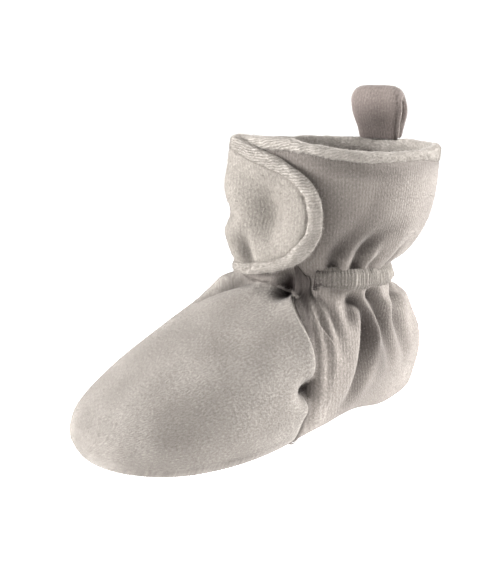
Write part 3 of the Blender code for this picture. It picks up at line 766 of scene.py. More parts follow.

# %% [markdown]
# Shade is painted into the cloth: the bottom of a fold or a pinch is coloured darker, for the shade that
# falls there. The folds and pinches are measured once more, a little wider, and give the share of painted
# shade. So do the sole's seam, the groove under the collar hem, the pit below the flap, and listed places
# where one fold or part shades another, such as the cuff beside the flap.

# %% Paint shade into the folds
PAINTED_SHADE_SPREAD = 1.35
PAINTED_SHADE_SHARE = 0.9
PAINTED_SHADE_FOLD_DEPTH = 5.0
GROOVE_SHADE = 0.6
GROOVE_DROP = 0.5
GROOVE_WIDTH = 1.6
HEM_FOOT_TURNS = (-180, -90, 0, 45, 110, 180)
HEM_FOOT_HEIGHTS = (81.4, 83.3, 85.1, 85.3, 83.8, 81.4)
# Painted shade along the crease of the sole's seam: this fold only darkens the cloth and moves no point.
SOLE_SEAM = Fold("sole seam", (21.5, -54, 3.4), (30.4, -25, 4.9), (26.8, 12, 6.6),
                 (1.6, 2.6, 2.2), (0.45, 0.45))
PAINTED_SHADE_FOLDS = [fold for fold in UPPER_FOLDS if fold.depths[1] > 0] + [SOLE_SEAM, mirrored(SOLE_SEAM)]
PAINTED_SHADE_DENTS = [dent for dent in UPPER_DENTS if dent.name.endswith("pinch")]
PAINTED_SHADE_DENTS += [
    # Painted shade only: the shadow the flap casts beside it, and the shaded walls and ridge beside the deep
    # troughs.
    Dent("beside the flap", (23.4, 6, 71), (6, 5, 13), 3),
    Dent("deep trough wall", (25.6, 24, 29), (3, 3.5, 8), 5),
    Dent("back ridge", (26.3, 29.5, 24), (4, 4.5, 9), 4.2),
    Dent("quarter foot", (27, 17, 10), (5, 12, 5), 1.4),
    Dent("cuff trough wall", (25.6, 15.4, 62.6), (5, 5, 5), 1),
]
# Painted shade in the pits where pieces meet; these dents darken the cloth and move no point.
PITS = (
    Dent("pit", (9.6, 2.6, 48), (6, 4.6, 3.8), 0.8),
    Dent("strip head", (15.8, 5.6, 49), (4.8, 4.8, 5), 0.3),
    Dent("casing end", (18, 8.2, 49.5), (2.4, 2.4, 4), 0.3),
    Dent("seam hole", (28.5, -6.3, 20.8), (6, 2.4, 2.5), 0.5),
)


def widened(fold):
    """The same fold, as wide as the shade that is painted beside it."""
    return fold._replace(widths=np.array(fold.widths) * PAINTED_SHADE_SPREAD)


def hem_foot(points):
    """Height of the lower edge of the collar hem in the solid."""
    return np.interp(np.degrees(leg_turn(points)), HEM_FOOT_TURNS, HEM_FOOT_HEIGHTS)


def pit_shade(points):
    """How much shade is painted in the pits where pieces meet."""
    return -sum(dent_push(points, dent) for dent in PITS)


fold_shade_push = sum(fold_push(surface, widened(fold)) for fold in PAINTED_SHADE_FOLDS)
fold_shade_push += sum(dent_push(surface, dent) for dent in PAINTED_SHADE_DENTS)
painted_shade = PAINTED_SHADE_SHARE * (1 - np.exp(np.minimum(fold_shade_push, 0) / PAINTED_SHADE_FOLD_DEPTH)) + pit_shade(points)
over_hem_foot = points[:, 2] - hem_foot(points) - collar_lift(points, "seam_lift")
painted_shade += GROOVE_SHADE * np.exp(-((over_hem_foot + GROOVE_DROP) / GROOVE_WIDTH) ** 2)
write_shares(upper_mesh, "painted_shade", painted_shade)
print("pile is pressed at", (painted_shade > 0.3).sum(), "points")

# %% Press the folds in
BEHIND_SEAM = 9.0
BELOW_COLLAR = 80.0
ABOVE_HEEL = 30.0

set_points(upper_mesh, points + outward * push[:, None])
soften(upper_mesh, rounds=2)
behind_seam = (points[:, 1] > BEHIND_SEAM) & (points[:, 2] < BELOW_COLLAR)
soften(upper_mesh, rounds=4, chosen=outside & behind_seam)
soften(upper_mesh, rounds=6, chosen=~outside & behind_seam & (points[:, 2] > ABOVE_HEEL))
points = points_of(upper_mesh)
print("folded", len(points), "points of the upper")

# %% Lay cloth on the upper
face_centres = np.empty(len(upper_mesh.polygons) * 3, dtype=np.float32)
upper_mesh.polygons.foreach_get("center", face_centres)
face_centres = face_centres.reshape(-1, 3).astype(float) / MM
face_normals = np.array([face.normal for face in upper_mesh.polygons])
face_outside = faces_out(face_centres, face_normals)
face_points = [list(face.vertices) for face in upper_mesh.polygons]
face_on_toe = np.array([on_toe[corners].mean() > 0.5 for corners in face_points])
corner_vertices = np.array([loop.vertex_index for loop in upper_mesh.loops])
corner_on_toe = np.repeat(face_on_toe, [len(corners) for corners in face_points])[:, None]
corner_cloth = np.where(corner_on_toe, toe_cloth(points)[corner_vertices], leg_cloth(points)[corner_vertices])
lay_cloth(upper_mesh, corner_cloth)
finish_numbers = np.where(face_outside, np.where(face_on_toe, 0, 1), 2)
upper_mesh.polygons.foreach_set("material_index", finish_numbers.astype(np.int32))
upper = add_piece("upper_velour", upper_mesh, ["upper"], [toe_velour, leg_velour, lining_velour])

# %% [markdown]
# ## Ankle casing
# A band of the same velour is stitched round the back of the ankle over an elastic, which gathers it into
# fine upright ribs between two rows of stitching. The ribs are real relief here. The copy is cut finely
# along its length only, where the ribs need points, and a sine wave that wanders a little lifts them.

# %% Cut a band along its length
LENGTHWAYS_SHARE = 0.7


def cut_along(mesh, along, cuts):
    """Cuts the edges of a band that run along it, where along gives each vertex its place on the band."""
    shape = bmesh.new()
    shape.from_mesh(mesh)
    shape.verts.ensure_lookup_table()
    lengthways = []
    for edge in shape.edges:
        first, second = edge.verts
        step = abs(along[first.index] - along[second.index]) * MM
        if step > LENGTHWAYS_SHARE * edge.calc_length():
            lengthways.append(edge)
    bmesh.ops.subdivide_edges(shape, edges=lengthways, cuts=cuts, use_grid_fill=True)
    shape.to_mesh(mesh)
    shape.free()
    mesh.update()
    print("cut", len(lengthways), "edges of a band")


# %% Make the casing
CASING_RAISE = 0.9
CASING_SQUEEZE = 0.88
CASING_LIFT = 0.4
CASING_EDGE_SINK = 0.9
CASING_EDGE = (2.0, 3.3)
CASING_DRAW = (-4.0, 3.0)
END_TAPER = 2.0
END_TAPER_LENGTH = 6.0
END_SHADE = 0.55
END_SHADE_LENGTH = 18.0
STITCH_HEIGHT = 2.4
STITCH_WIDTH = 0.5
STITCH_SINK = 0.4
STITCH_SHADE = 0.25
CASING_RIB = 1.3
CASING_RIB_LIFT = 0.2
CASING_RIB_SLANT = 0.3
PUCKER_STRETCH = np.array([1.0, 1.0, 0.5])

casing_mesh = rounded(cad_copy("ankle_casing"), levels=2, keep=0.6)
cut_along(casing_mesh, leg_turn(points_of(casing_mesh)) * LEG_RADIUS, cuts=2)
points = points_of(casing_mesh)
visible = faces_out(points, normals_of(casing_mesh))
round_leg = leg_turn(points) * LEG_RADIUS
height = (points[:, 2] - casing_middle(points)) * CASING_SQUEEZE
points[:, 2] = casing_middle(points) + CASING_RAISE + height
points[:, 2] += ripple(points, lift=0.8, size=5.0, seed=13)
on_band = np.stack([round_leg, CASING_RIB_SLANT * height, 0 * height], axis=1)
wander = ripple(on_band, lift=3.5, size=3.0, seed=3)
ribs = CASING_RIB_LIFT * np.sin(2 * math.pi * round_leg / CASING_RIB + wander)
rows = sum(np.exp(-((height - side * STITCH_HEIGHT) / STITCH_WIDTH) ** 2) for side in (-1, 1))
puckers = ripple(points * PUCKER_STRETCH, lift=0.7, size=3.6, seed=4)
push = np.where(visible, ribs * (1 - rows / 2) - STITCH_SINK * rows + puckers, 0.0)
from_end = np.abs(round_leg) - np.abs(round_leg).min()
push += CASING_LIFT - END_TAPER * (1 - ease(from_end, 0.0, END_TAPER_LENGTH))
push += WAIST_DRAW.push * ease(points[:, 1], *HEEL_ROWS) * ease(height, *CASING_DRAW)
push -= CASING_EDGE_SINK * ease(np.abs(height), *CASING_EDGE)
# Painted shade: darker along the sunk stitch rows, towards the front end under the flap, and in the pits.
end_shade = END_SHADE * (1 - ease(from_end, 0.0, END_SHADE_LENGTH))
write_shares(casing_mesh, "painted_shade", STITCH_SHADE * rows + end_shade + pit_shade(points))
set_points(casing_mesh, points + away_from_axis(points) * push[:, None])
lay_cloth(casing_mesh, leg_cloth(points))
casing = add_piece("ankle_casing_velour", casing_mesh, ["ankle_casing"], [flap_velour])

# %% [markdown]
# ## Facings
# Behind the padded toe piece, on each side, the seam allowance is turned back and topstitched, so a narrow
# strip runs down from the flap to the sole. It could be a ridge of the upper, but its edges would be too
# soft. So it is a strip of its own, laid on the folded upper in the gutter beside the toe piece. Its head
# is wider and rises at a slant under the flap, and shade is painted on it along the seam, where the lip
# of the toe piece shades it, darkest at the head.

# %% Lay points on a mesh
RAY_START = 6.0


def lay_on(mesh, points, rise):
    """Moves points straight in or out until they lie rise millimetres above the outside of a mesh."""
    shape = bmesh.new()
    shape.from_mesh(mesh)
    surface_tree = BVHTree.FromBMesh(shape)
    shape.free()
    laid = points.copy()
    for number, (point, way) in enumerate(zip(points, away_from_axis(points))):
        spot = surface_tree.ray_cast(Vector((point + RAY_START * way) * MM), Vector(-way))[0]
        if spot is not None:
            laid[number] = np.array(spot) / MM + way * rise[number]
    return laid


print("points are laid down from", RAY_START, "mm above a mesh")

# %% Make the facings
FACING_WIDTH = 0.72
HEAD_WIDENING = 0.45
WIDENING_HEIGHTS = (20.0, 36.0)
HEAD_REACH = 2.6
REACH_HEIGHTS = (38.0, 45.0)
REACH_FADE = 2.5
HEAD_LIFT = 9.5
HEAD_HEIGHTS = (38.0, 47.0)
HEAD_SLANT = 0.5
SLANT_PLACES = (-2.0, 3.5)
FOOT_STRETCH = 0.4
FOOT_HEIGHTS = (4.5, 14.0)
FACING_RISE = 0.45
FACING_SINK = -0.5
LIP_SHADE = 0.22
HEAD_LIP_SHADE = 0.44
LIP_SHADE_HEIGHTS = (24.0, 42.0)
LIP_SHADE_WIDTH = 3.6
LINE_SHADE = 0.5
LINE_PLACES = (0.4, 1.6)
FACING_SHADE_LIMIT = 0.76
PINCH_SHADE = 0.9
SEAM_PINCHES = [dent for dent in UPPER_DENTS if dent.name.endswith("seam pinch")]

for name in ("left", "right"):
    facing_mesh = rounded(cad_copy(f"facing_{name}"), levels=3, keep=0.8)
    points = points_of(facing_mesh)
    visible = faces_out(points, normals_of(facing_mesh))
    seam = np.interp(points[:, 2], seam_heights, seam_places)
    widening = FACING_WIDTH + HEAD_WIDENING * ease(points[:, 2], *WIDENING_HEIGHTS)
    from_lip = (points[:, 1] - seam) * widening
    from_lip -= HEAD_REACH * ease(points[:, 2], *REACH_HEIGHTS) * (1 - ease(from_lip, 0.0, REACH_FADE))
    points[:, 1] = seam + from_lip
    points[:, 2] -= FOOT_STRETCH * (1 - ease(points[:, 2], *FOOT_HEIGHTS))
    slant = 1 - HEAD_SLANT * ease(from_lip, *SLANT_PLACES)
    points[:, 2] += HEAD_LIFT * slant * ease(points[:, 2], *HEAD_HEIGHTS)
    rise = np.where(visible, FACING_RISE + ripple(points, lift=0.3, size=3.0, seed=5), FACING_SINK)
    points = lay_on(upper_mesh, lift_arch(slide_seam(points)), rise)
    # Painted shade: darker beside the lip of the toe piece and up towards the head, with a dark line along
    # the seam itself, and in the pits and seam pinches.
    shade = LIP_SHADE + HEAD_LIP_SHADE * ease(points[:, 2], *LIP_SHADE_HEIGHTS)
    shade *= np.exp(-(from_lip / LIP_SHADE_WIDTH) ** 2)
    shade += LINE_SHADE * (1 - ease(from_lip, *LINE_PLACES))
    shade = np.minimum(shade + pit_shade(points), FACING_SHADE_LIMIT)
    shade += PINCH_SHADE * sum(-dent_push(points, dent) / dent.depth for dent in SEAM_PINCHES)
    write_shares(facing_mesh, "painted_shade", shade)
    set_points(facing_mesh, points)
    soften(facing_mesh, rounds=2)
    lay_cloth(facing_mesh, leg_cloth(points))
    add_piece(f"facing_{name}_velour", facing_mesh, [f"facing_{name}"], [leg_velour])

# %% [markdown]
# ## Collar hem
# The collar is bound by folding the cuff over and stitching it down. The fold twists the ribs of the knit,
# so they run slantwise over the hem like the strands of a rope, most clearly near the flap. As relief they
# would need very many points. So the material draws them, along a cloth coordinate that climbs over the hem,
# and the "flattened" attribute fades them out towards the heel.

# %% Make the collar hem
STRAND_SLOPE = 0.2
STRANDS_SHOW = -6.0
STRANDS_FADE = 14.0
STRANDS_FLATTENED = 0.85
FOLD_SHADE = 0.5
FOLD_SHADE_RISE = 0.3
HEM_HEIGHT = 6.2
HEM_DRAW_IN = 2.2
DRAW_IN_TURN = 105.0
DRAW_IN_SPREAD = 30.0

hem_mesh = rounded(cad_copy("collar_hem"), levels=3, keep=0.35)
points = points_of(hem_mesh)
normals = normals_of(hem_mesh)
round_leg = leg_turn(points) * LEG_RADIUS
rise = np.clip((points[:, 2] - hem_foot(points)) / HEM_HEIGHT, 0, 1)
points[:, 2] += collar_lift(points, "seam_lift") * (1 - rise) + collar_lift(points, "top_lift") * rise
over_hem = points[:, 2] - np.linalg.norm(points[:, :2] - np.array(LEG_AXIS), axis=1)
strand_place = over_hem - STRAND_SLOPE * round_leg + ripple(points, lift=0.45, size=2.4, seed=6)
flattened = STRANDS_FLATTENED * ease(points[:, 1], STRANDS_SHOW, STRANDS_FADE)
write_shares(hem_mesh, "flattened", flattened)
# Painted shade along the foot of the hem, in the crease where the cuff is folded over.
write_shares(hem_mesh, "painted_shade", FOLD_SHADE * (1 - ease(rise, 0.0, FOLD_SHADE_RISE)))
push = ripple(points, lift=0.35, size=4.5, seed=7) + ripple(points, lift=0.12, size=1.6, seed=14)
from_corner = (np.degrees(leg_turn(points)) - DRAW_IN_TURN) / DRAW_IN_SPREAD
draw_in = HEM_DRAW_IN * np.exp(-from_corner**2)
moved = normals * push[:, None] - away_from_axis(points) * draw_in[:, None]
set_points(hem_mesh, points + moved)
lay_cloth(hem_mesh, np.stack([strand_place, round_leg], axis=1))
collar_hem = add_piece("collar_hem_velour", hem_mesh, ["collar_hem"], [hem_velour])

# %% [markdown]
# ## Flap
# The flap wraps over the front of the cuff and closes on a hook-and-loop patch that it hides. The patch
# holds it down in the middle, so the velour dimples there and swells round about, and a small pucker
# rises from its foot. Its edge is folded over and stitched, which leaves a soft cord of cloth, the hem. On
# the flat pattern the free edge is a squarish ellipse about the middle of the root, so a place on the flap
# is known by its turn about that middle and its distance in from the edge.

# %% Measure on the flap's pattern
FLAP_ROOT = -17.0
FLAP_REACH = 41.5
FLAP_TIP_HEIGHT = 70.1
FLAP_RISE = 21.4
FLAP_ROUNDNESS = 2.3
CUFF_AXIS_Y = 32.5
CUFF_FRONT_RADIUS = 33.0
ROOT_FADE = 7.0
ROOT_DRAW = 1.6
FLAP_TOP_LIFT = 2.2
FLAP_TOP_HEIGHTS = (70.0, 89.0)
FLAP_TOP_PLACES = (-11.0, 4.0)


def place_round_cuff(points):
    """How far round the cuff points lie, in millimetres from its front."""
    return np.arctan2(points[:, 0], CUFF_AXIS_Y - points[:, 1]) * CUFF_FRONT_RADIUS


def flap_pattern(points):
    """Turn of points about the middle of the flap's root, and their distance in from its free edge."""
    across = place_round_cuff(points) - FLAP_ROOT
    height = points[:, 2] - FLAP_TIP_HEIGHT
    turn = np.arctan2(height, across)
    reach_share = np.abs(np.cos(turn) / FLAP_REACH) ** FLAP_ROUNDNESS
    rise_share = np.abs(np.sin(turn) / FLAP_RISE) ** FLAP_ROUNDNESS
    return turn, (reach_share + rise_share) ** (-1 / FLAP_ROUNDNESS) - np.hypot(across, height)


def move_to_edge(points, distance):
    """Moves points along the flap towards its free edge."""
    turn, _ = flap_pattern(points)
    cuff_turn = (place_round_cuff(points) + distance * np.cos(turn)) / CUFF_FRONT_RADIUS
    radius = np.hypot(points[:, 0], CUFF_AXIS_Y - points[:, 1])
    x = radius * np.sin(cuff_turn)
    y = CUFF_AXIS_Y - radius * np.cos(cuff_turn)
    return np.stack([x, y, points[:, 2] + distance * np.sin(turn)], axis=1)


def lift_flap_top(points):
    """Raises the top of the flap next to its root, where it follows the collar."""
    moved = points.copy()
    by_root = 1 - ease(place_round_cuff(points), *FLAP_TOP_PLACES)
    moved[:, 2] += FLAP_TOP_LIFT * ease(points[:, 2], *FLAP_TOP_HEIGHTS) * by_root
    return moved


def sew_root(points, push):
    """Fades a push out towards the flap's root and draws the root in, because it is sewn to the cuff."""
    free = ease(place_round_cuff(points), FLAP_ROOT, FLAP_ROOT + ROOT_FADE)
    return push * free - ROOT_DRAW * (1 - free)


print("the flap reaches", FLAP_REACH, "mm from its root and is", 2 * FLAP_RISE, "mm high")

# %% Make the flap
FOOT_PUCKER = Dent("foot pucker", (-3.0, -6.0, 57.0), (2.8, 6.0, 5.5), 3.0)
PUCKER_SHADE = 0.5
FLAP_DENTS = (
    FOOT_PUCKER,
    Dent("dimple", (7.0, -5.0, 70.5), (7.5, 8.0, 10.5), 7.0),
    Dent("front swell", (-10.0, -5.0, 77.0), (6.5, 8.0, 7.5), -2.6),
    Dent("front waist", (-13.0, -4.5, 68.3), (8.0, 8.0, 3.4), 1.8),
    Dent("low swell", (-10.0, -5.0, 61.5), (5.5, 8.0, 5.0), -2.0),
    Dent("tip swell", (16.0, -3.0, 64.0), (5.0, 8.0, 9.0), -1.8),
    Dent("foot swell", (7.0, -5.0, 56.0), (8.0, 8.0, 5.0), -1.4),
    Dent("upper swell", (8.0, -5.0, 83.0), (7.0, 8.0, 4.0), -0.9),
)
HEM_SQUEEZE = 0.68
HEM_WIDTH = 5.8
RIM_TUCK = 1.5
FLAP_GROOVE_DEPTH = 0.7
FLAP_GROOVE_INSET = 4.4
FLAP_GROOVE_WIDTH = 0.9
STRETCH_FADE = 7.0

flap_mesh = rounded(cad_copy("flap"), levels=3, keep=0.8)
points = points_of(flap_mesh)
push = sum(dent_push(points, dent) for dent in FLAP_DENTS)
push = sew_root(points, push + ripple(points, lift=0.2, size=5.0, seed=8))
inset = flap_pattern(points)[1]
stretch = RIM_TUCK + (1 - HEM_SQUEEZE) * HEM_WIDTH
points = move_to_edge(points, stretch * (1 - ease(inset, HEM_WIDTH, HEM_WIDTH + STRETCH_FADE)))
from_groove = flap_pattern(points)[1] - FLAP_GROOVE_INSET
push -= FLAP_GROOVE_DEPTH * np.exp(-((from_groove / FLAP_GROOVE_WIDTH) ** 2))
# Painted shade in the pucker at the flap's foot, darkest at its middle.
write_shares(flap_mesh, "painted_shade", PUCKER_SHADE * -dent_push(points, FOOT_PUCKER) / FOOT_PUCKER.depth)
points = points + away_from_axis(points) * push[:, None]
set_points(flap_mesh, lift_flap_top(points))
soften(flap_mesh, rounds=2)
points = points_of(flap_mesh)
lay_cloth(flap_mesh, leg_cloth(points))
flap = add_piece("flap_velour", flap_mesh, ["flap"], [flap_velour])

# %% Make the flap hem
HEM_TOP_TUCK = 1.2
HEM_TOP_HEIGHTS = (80.0, 88.0)
HEM_FOOT_TUCK = 1.6
HEM_ROOT_SIDES = (-16.0, -9.0)
HEM_ROOT_HEIGHTS = (56.0, 62.0)
FOOT_FLATTENED = 0.7
TOP_UNFLATTENED = 0.6
UNFLATTENED_HEIGHTS = (72.0, 80.0)

hem_mesh = rounded(cad_copy("flap_hem"), levels=3, keep=0.35)
points = points_of(hem_mesh)
normals = normals_of(hem_mesh)
visible = faces_out(points, normals)
inset = flap_pattern(points)[1]
round_cuff = place_round_cuff(points)
strand_place = points[:, 2] - STRAND_SLOPE * round_cuff + ripple(points, lift=0.45, size=2.4, seed=9)
flattened = FOOT_FLATTENED - TOP_UNFLATTENED * ease(points[:, 2], *UNFLATTENED_HEIGHTS)
write_shares(hem_mesh, "flattened", flattened)
uneven = ripple(points, lift=0.35, size=3.6, seed=10) + ripple(points, lift=0.15, size=1.5, seed=15)
push = np.where(visible, uneven, 0.0)
follow = sew_root(points, sum(dent_push(points, dent) for dent in FLAP_DENTS))
by_root = (1 - ease(points[:, 0], *HEM_ROOT_SIDES)) * (1 - ease(points[:, 2], *HEM_ROOT_HEIGHTS))
follow -= HEM_FOOT_TUCK * by_root + HEM_TOP_TUCK * ease(points[:, 2], *HEM_TOP_HEIGHTS)
moved = normals * push[:, None] + away_from_axis(points) * follow[:, None]
points = move_to_edge(points, (1 - HEM_SQUEEZE) * np.clip(inset, 0, HEM_WIDTH)) + moved
set_points(hem_mesh, lift_flap_top(points))
soften(hem_mesh, rounds=3)
lay_cloth(hem_mesh, np.stack([strand_place, round_cuff], axis=1))
flap_hem = add_piece("flap_hem_velour", hem_mesh, ["flap_hem"], [hem_velour])

# %% [markdown]
# ## Pull loop
# A folded strip stands on the collar at the heel, to pull the slipper on by. Its feet go down to the hem
# and are narrower than its top, and its faces swell a little. Shade is painted on it: a little all over,
# and more low in the middle, fading out towards its edges and its top.

# %% Make the pull loop
LOOP_CENTRE = np.array([-10.2, 62.2])
LOOP_ACROSS = np.array([0.95, 0.32])
LOOP_THROUGH = np.array([-0.32, 0.95])
LOOP_HALF_WIDTH = 9.0
LOOP_FOOT_HEIGHT = 88.0
LOOP_TOP_HEIGHT = 105.0
LOOP_STRETCH = 0.5
LOOP_PUFF = 0.35
LOOP_WAIST = 0.08
LOOP_SHADE = 0.4
LOOP_LEAST_SHADE = 0.12
LOOP_FILL = 0.6
LOOP_SHOULDER = 1.7
LOOP_LEAN = 0.5

loop_mesh = rounded(cad_copy("pull_loop"), levels=3, keep=0.55)
points = points_of(loop_mesh)
fill = LOOP_FILL + ripple(points, lift=0.4, size=6.0, seed=11)
points += normals_of(loop_mesh) * fill[:, None]
rise = (points[:, 2] - LOOP_FOOT_HEIGHT) / (LOOP_TOP_HEIGHT - LOOP_FOOT_HEIGHT)
across = (points[:, :2] - LOOP_CENTRE) @ LOOP_ACROSS
through = (points[:, :2] - LOOP_CENTRE) @ LOOP_THROUGH
edge = np.clip(np.abs(across) / LOOP_HALF_WIDTH, 0, 1)
through *= 1 + LOOP_PUFF * np.sin(np.pi * np.clip(rise, 0, 1)) * (1 - edge**2)
across *= 1 - LOOP_WAIST * (1 - ease(rise, 0.0, 0.7))
across -= LOOP_LEAN * ease(rise, 0.3, 1.0)
points[:, :2] = LOOP_CENTRE + across[:, None] * LOOP_ACROSS + through[:, None] * LOOP_THROUGH
points[:, 2] -= LOOP_SHOULDER * edge**4 * ease(rise, 0.6, 1.0)
points[:, 2] -= LOOP_STRETCH * (1 - ease(rise, 0.0, 0.5))
# Painted shade: darker across the middle and low down, and a little darker all over.
shade = LOOP_SHADE * (1 - edge**3) * (1 - ease(rise, 0.3, 1.1))
write_shares(loop_mesh, "painted_shade", shade + LOOP_LEAST_SHADE)
set_points(loop_mesh, points)
lay_cloth(loop_mesh, np.stack([across, points[:, 2]], axis=1))
loop_velour = velour("velour_taupe_loop", "554D4A", "6D6460", "898079", rib_share=0.1, sheen=0.5)
pull_loop = add_piece("pull_loop_velour", loop_mesh, ["pull_loop"], [loop_velour])

# %% [markdown]
# ## Sole, insole and grips
# The sole is a padded slab covered in velour. It sits a little inside the edge of the upper, which rolls
# under round it. Zigzag lines of soft rubber are printed on it for grip, with edges rounded by the ink's own
# surface, so their sharp edges are bevelled. A fleece insole lies inside.

# %% Make the sole
SOLE_INSET = (0.95, 0.975, 1.0)

sole_mesh = rounded(cad_copy("sole"), levels=2)
points = lift_arch(points_of(sole_mesh) * np.array(SOLE_INSET))
set_points(sole_mesh, points)
lay_cloth(sole_mesh, points[:, :2])
sole = add_piece("sole_velour", sole_mesh, ["sole"], [sole_velour])

# %% Make the insole
FLEECE_CURL = 3.0
LOOKS_UP = 0.3

insole_mesh = rounded(cad_copy("insole"), levels=3)
points = points_of(insole_mesh)
normals = normals_of(insole_mesh)
curls = np.where(normals[:, 2] > LOOKS_UP, ripple(points, lift=0.3, size=FLEECE_CURL, seed=12), 0.0)
set_points(insole_mesh, points + normals * curls[:, None])
lay_cloth(insole_mesh, points[:, :2])
insole = add_piece("insole_fleece", insole_mesh, ["insole"], [lining_velour])

# %% Print the grips
GRIP_COUNT = 4
GRIP_BEVEL = 0.18 * MM
SHARP_EDGE = math.radians(40)


def printed_rubber():
    """Soft rubber print, pale grey-green: matt, a little translucent looking, with an uneven skin."""
    made, tree = new_material("rubber_print_grey_green")
    place = add_node(tree, "ShaderNodeTexCoord")
    skin = add_node(tree, "ShaderNodeTexNoise", {
        "Vector": place.outputs["Object"], "Scale": 1 / (1.2 * MM), "Detail": 3.0})
    colours = add_node(tree, "ShaderNodeValToRGB", {"Fac": skin.outputs["Fac"]})
    colours.color_ramp.elements[0].color = linear("AEB1A4")
    colours.color_ramp.elements[1].color = linear("C9CBBE")
    bump = add_node(tree, "ShaderNodeBump", {
        "Height": skin.outputs["Fac"], "Strength": 0.3, "Distance": 0.1 * MM})
    shader = add_node(tree, "ShaderNodeBsdfPrincipled", {
        "Base Color": colours.outputs["Color"], "Roughness": 0.55, "IOR": 1.5,
        "Normal": bump.outputs["Normal"]})
    add_node(tree, "ShaderNodeOutputMaterial", {"Surface": shader.outputs["BSDF"]})
    return made


rubber = printed_rubber()
for number in range(1, GRIP_COUNT + 1):
    grip_shape = cad_copy(f"grip_{number}")
    sharp = [edge for edge in grip_shape.edges if edge.calc_face_angle(0) > SHARP_EDGE]
    bmesh.ops.bevel(grip_shape, geom=sharp, offset=GRIP_BEVEL, offset_type="OFFSET", segments=3,
                    profile=0.5, affect="EDGES", material=-1, clamp_overlap=True)
    grip_mesh = bpy.data.meshes.new("grip")
    grip_shape.to_mesh(grip_mesh)
    grip_shape.free()
    grip_mesh.materials.clear()
    add_piece(f"grip_{number}_rubber", grip_mesh, [f"grip_{number}"], [rubber])

# %% [markdown]
# ## Nap
# What makes velour look soft is its outline: the tips of the pile stand out from every edge and catch the
# light. Hair particles would not reach the exported model, so the nap is a mesh. A thin cone is one lock of
# fibres. It is made once and repeated over the outer faces of each piece, with more of them where a face is
# larger and fewer where shade is painted in, leaning down the leg as brushed pile does. The places come
# from a random generator with a fixed seed, so every run gives the same nap.

# %% Fibre and nap helpers
Nap = namedtuple("Nap", "name piece weights count length thickness lean finish")
FIBRE_SIDES = 3
NAP_SPREAD = 0.45
FIBRE_SIZES = (0.6, 1.2)


def fibre_shape(length, thickness):
    """Points and faces of one lock of fibres, a thin cone that stands on the origin."""
    shape = bmesh.new()
    bmesh.ops.create_cone(shape, cap_ends=True, segments=FIBRE_SIDES, radius1=thickness / 2, radius2=0,
                          depth=length, matrix=Matrix.Translation((0, 0, length / 2)))
    bmesh.ops.remove_doubles(shape, verts=shape.verts, dist=thickness / 100)
    bmesh.ops.triangulate(shape, faces=shape.faces)
    corners = np.array([vertex.co for vertex in shape.verts])
    faces = np.array([[vertex.index for vertex in face.verts] for face in shape.faces])
    shape.free()
    return corners, faces


def plant_nap(nap, seed):
    """Repeats a lock of fibres over the outer faces of a piece."""
    mesh = nap.piece.data
    generator = np.random.default_rng(seed)
    areas = np.array([face.area for face in mesh.polygons])
    centres = np.array([face.center for face in mesh.polygons])
    normals = np.array([face.normal for face in mesh.polygons])
    areas *= faces_out(centres / MM, normals) * nap.weights
    chosen = generator.choice(len(areas), nap.count, p=areas / areas.sum())
    rims = np.array([list(face.vertices[:4]) + [face.vertices[0]] * (4 - len(face.vertices[:4]))
                     for face in mesh.polygons])
    first, second, third, fourth = np.swapaxes(points_of(mesh)[rims[chosen]] * MM, 0, 1)
    along, across = generator.uniform(0, 1, (2, nap.count, 1))
    near_side = first + (second - first) * along
    far_side = fourth + (third - fourth) * along
    roots = near_side + (far_side - near_side) * across
    stands = normals[chosen] + nap.lean + generator.normal(0, NAP_SPREAD, (nap.count, 3))
    stands /= np.linalg.norm(stands, axis=1)[:, None]
    sideways = np.cross(stands, generator.normal(0, 1, (nap.count, 3)))
    sideways /= np.linalg.norm(sideways, axis=1)[:, None]
    frames = np.stack([sideways, np.cross(stands, sideways), stands], axis=1)
    frames *= generator.uniform(*FIBRE_SIZES, nap.count)[:, None, None]
    corners, faces = fibre_shape(nap.length * MM, nap.thickness * MM)
    places = roots[:, None, :] + np.einsum("ki,nij->nkj", corners, frames)
    numbers = faces[None, :, :] + len(corners) * np.arange(nap.count)[:, None, None]
    fuzz = bpy.data.meshes.new("nap")
    fuzz.from_pydata(places.reshape(-1, 3), [], numbers.reshape(-1, 3))
    return fuzz


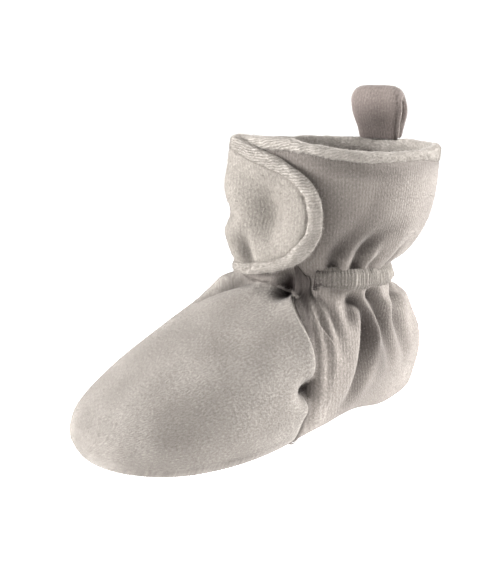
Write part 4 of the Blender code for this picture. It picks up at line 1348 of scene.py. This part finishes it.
def nap_fibres(name, colour):
    """Loose polyester fibres: matt, without a pattern of their own."""
    made, tree = new_material(name)
    shader = add_node(tree, "ShaderNodeBsdfPrincipled", {
        "Base Color": linear(colour), "Roughness": 0.8, "Specular IOR Level": 0.2})
    add_node(tree, "ShaderNodeOutputMaterial", {"Surface": shader.outputs["BSDF"]})
    return made


print("a lock of fibres has", len(fibre_shape(length=1.0, thickness=0.1)[1]), "triangles")

# %% Plant the nap
LEAN_DOWN = np.array([0.0, -0.35, -0.6])
LEAN_BACK = np.array([0.0, 0.9, 0.0])

short_fibres = nap_fibres("velour_taupe_short_fibres", "88827D")
hem_fibres = nap_fibres("velour_taupe_hem_fibres", "958F89")
loop_fibres = nap_fibres("velour_taupe_loop_fibres", "77716C")
toe_share = np.array([on_toe[corners].mean() for corners in face_points])
on_lip = (toe_share > 0) & (toe_share < 1)
shade_free_share = np.array([1 - np.clip(painted_shade[corners].mean(), 0, 1) for corners in face_points])
NAPS = (
    Nap("upper_nap", upper, shade_free_share, 48000, 0.5, 0.07, LEAN_DOWN, short_fibres),
    # The seam's fibres take the darker loop colour: painted shade along the lip of the toe piece.
    Nap("seam_nap", upper, on_lip, 6000, 1.7, 0.09, LEAN_BACK, loop_fibres),
    Nap("casing_nap", casing, 1.0, 6000, 0.55, 0.08, LEAN_DOWN, short_fibres),
    Nap("collar_hem_nap", collar_hem, 1.0, 10000, 0.85, 0.08, LEAN_DOWN, hem_fibres),
    Nap("flap_nap", flap, 1.0, 8000, 0.5, 0.08, LEAN_DOWN, short_fibres),
    Nap("flap_hem_nap", flap_hem, 1.0, 8000, 0.85, 0.08, LEAN_DOWN, hem_fibres),
    Nap("pull_loop_nap", pull_loop, 1.0, 4000, 0.6, 0.09, LEAN_DOWN, loop_fibres),
)
for seed, nap in enumerate(NAPS):
    fuzz = plant_nap(nap, seed)
    fuzz.name = nap.name
    fuzz.materials.append(nap.finish)
    fuzz_piece = bpy.data.objects.new(nap.name, fuzz)
    bpy.context.scene.collection.objects.link(fuzz_piece)
    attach(fuzz_piece, "root")
    print(nap.name, "has", len(fuzz.polygons), "triangles")
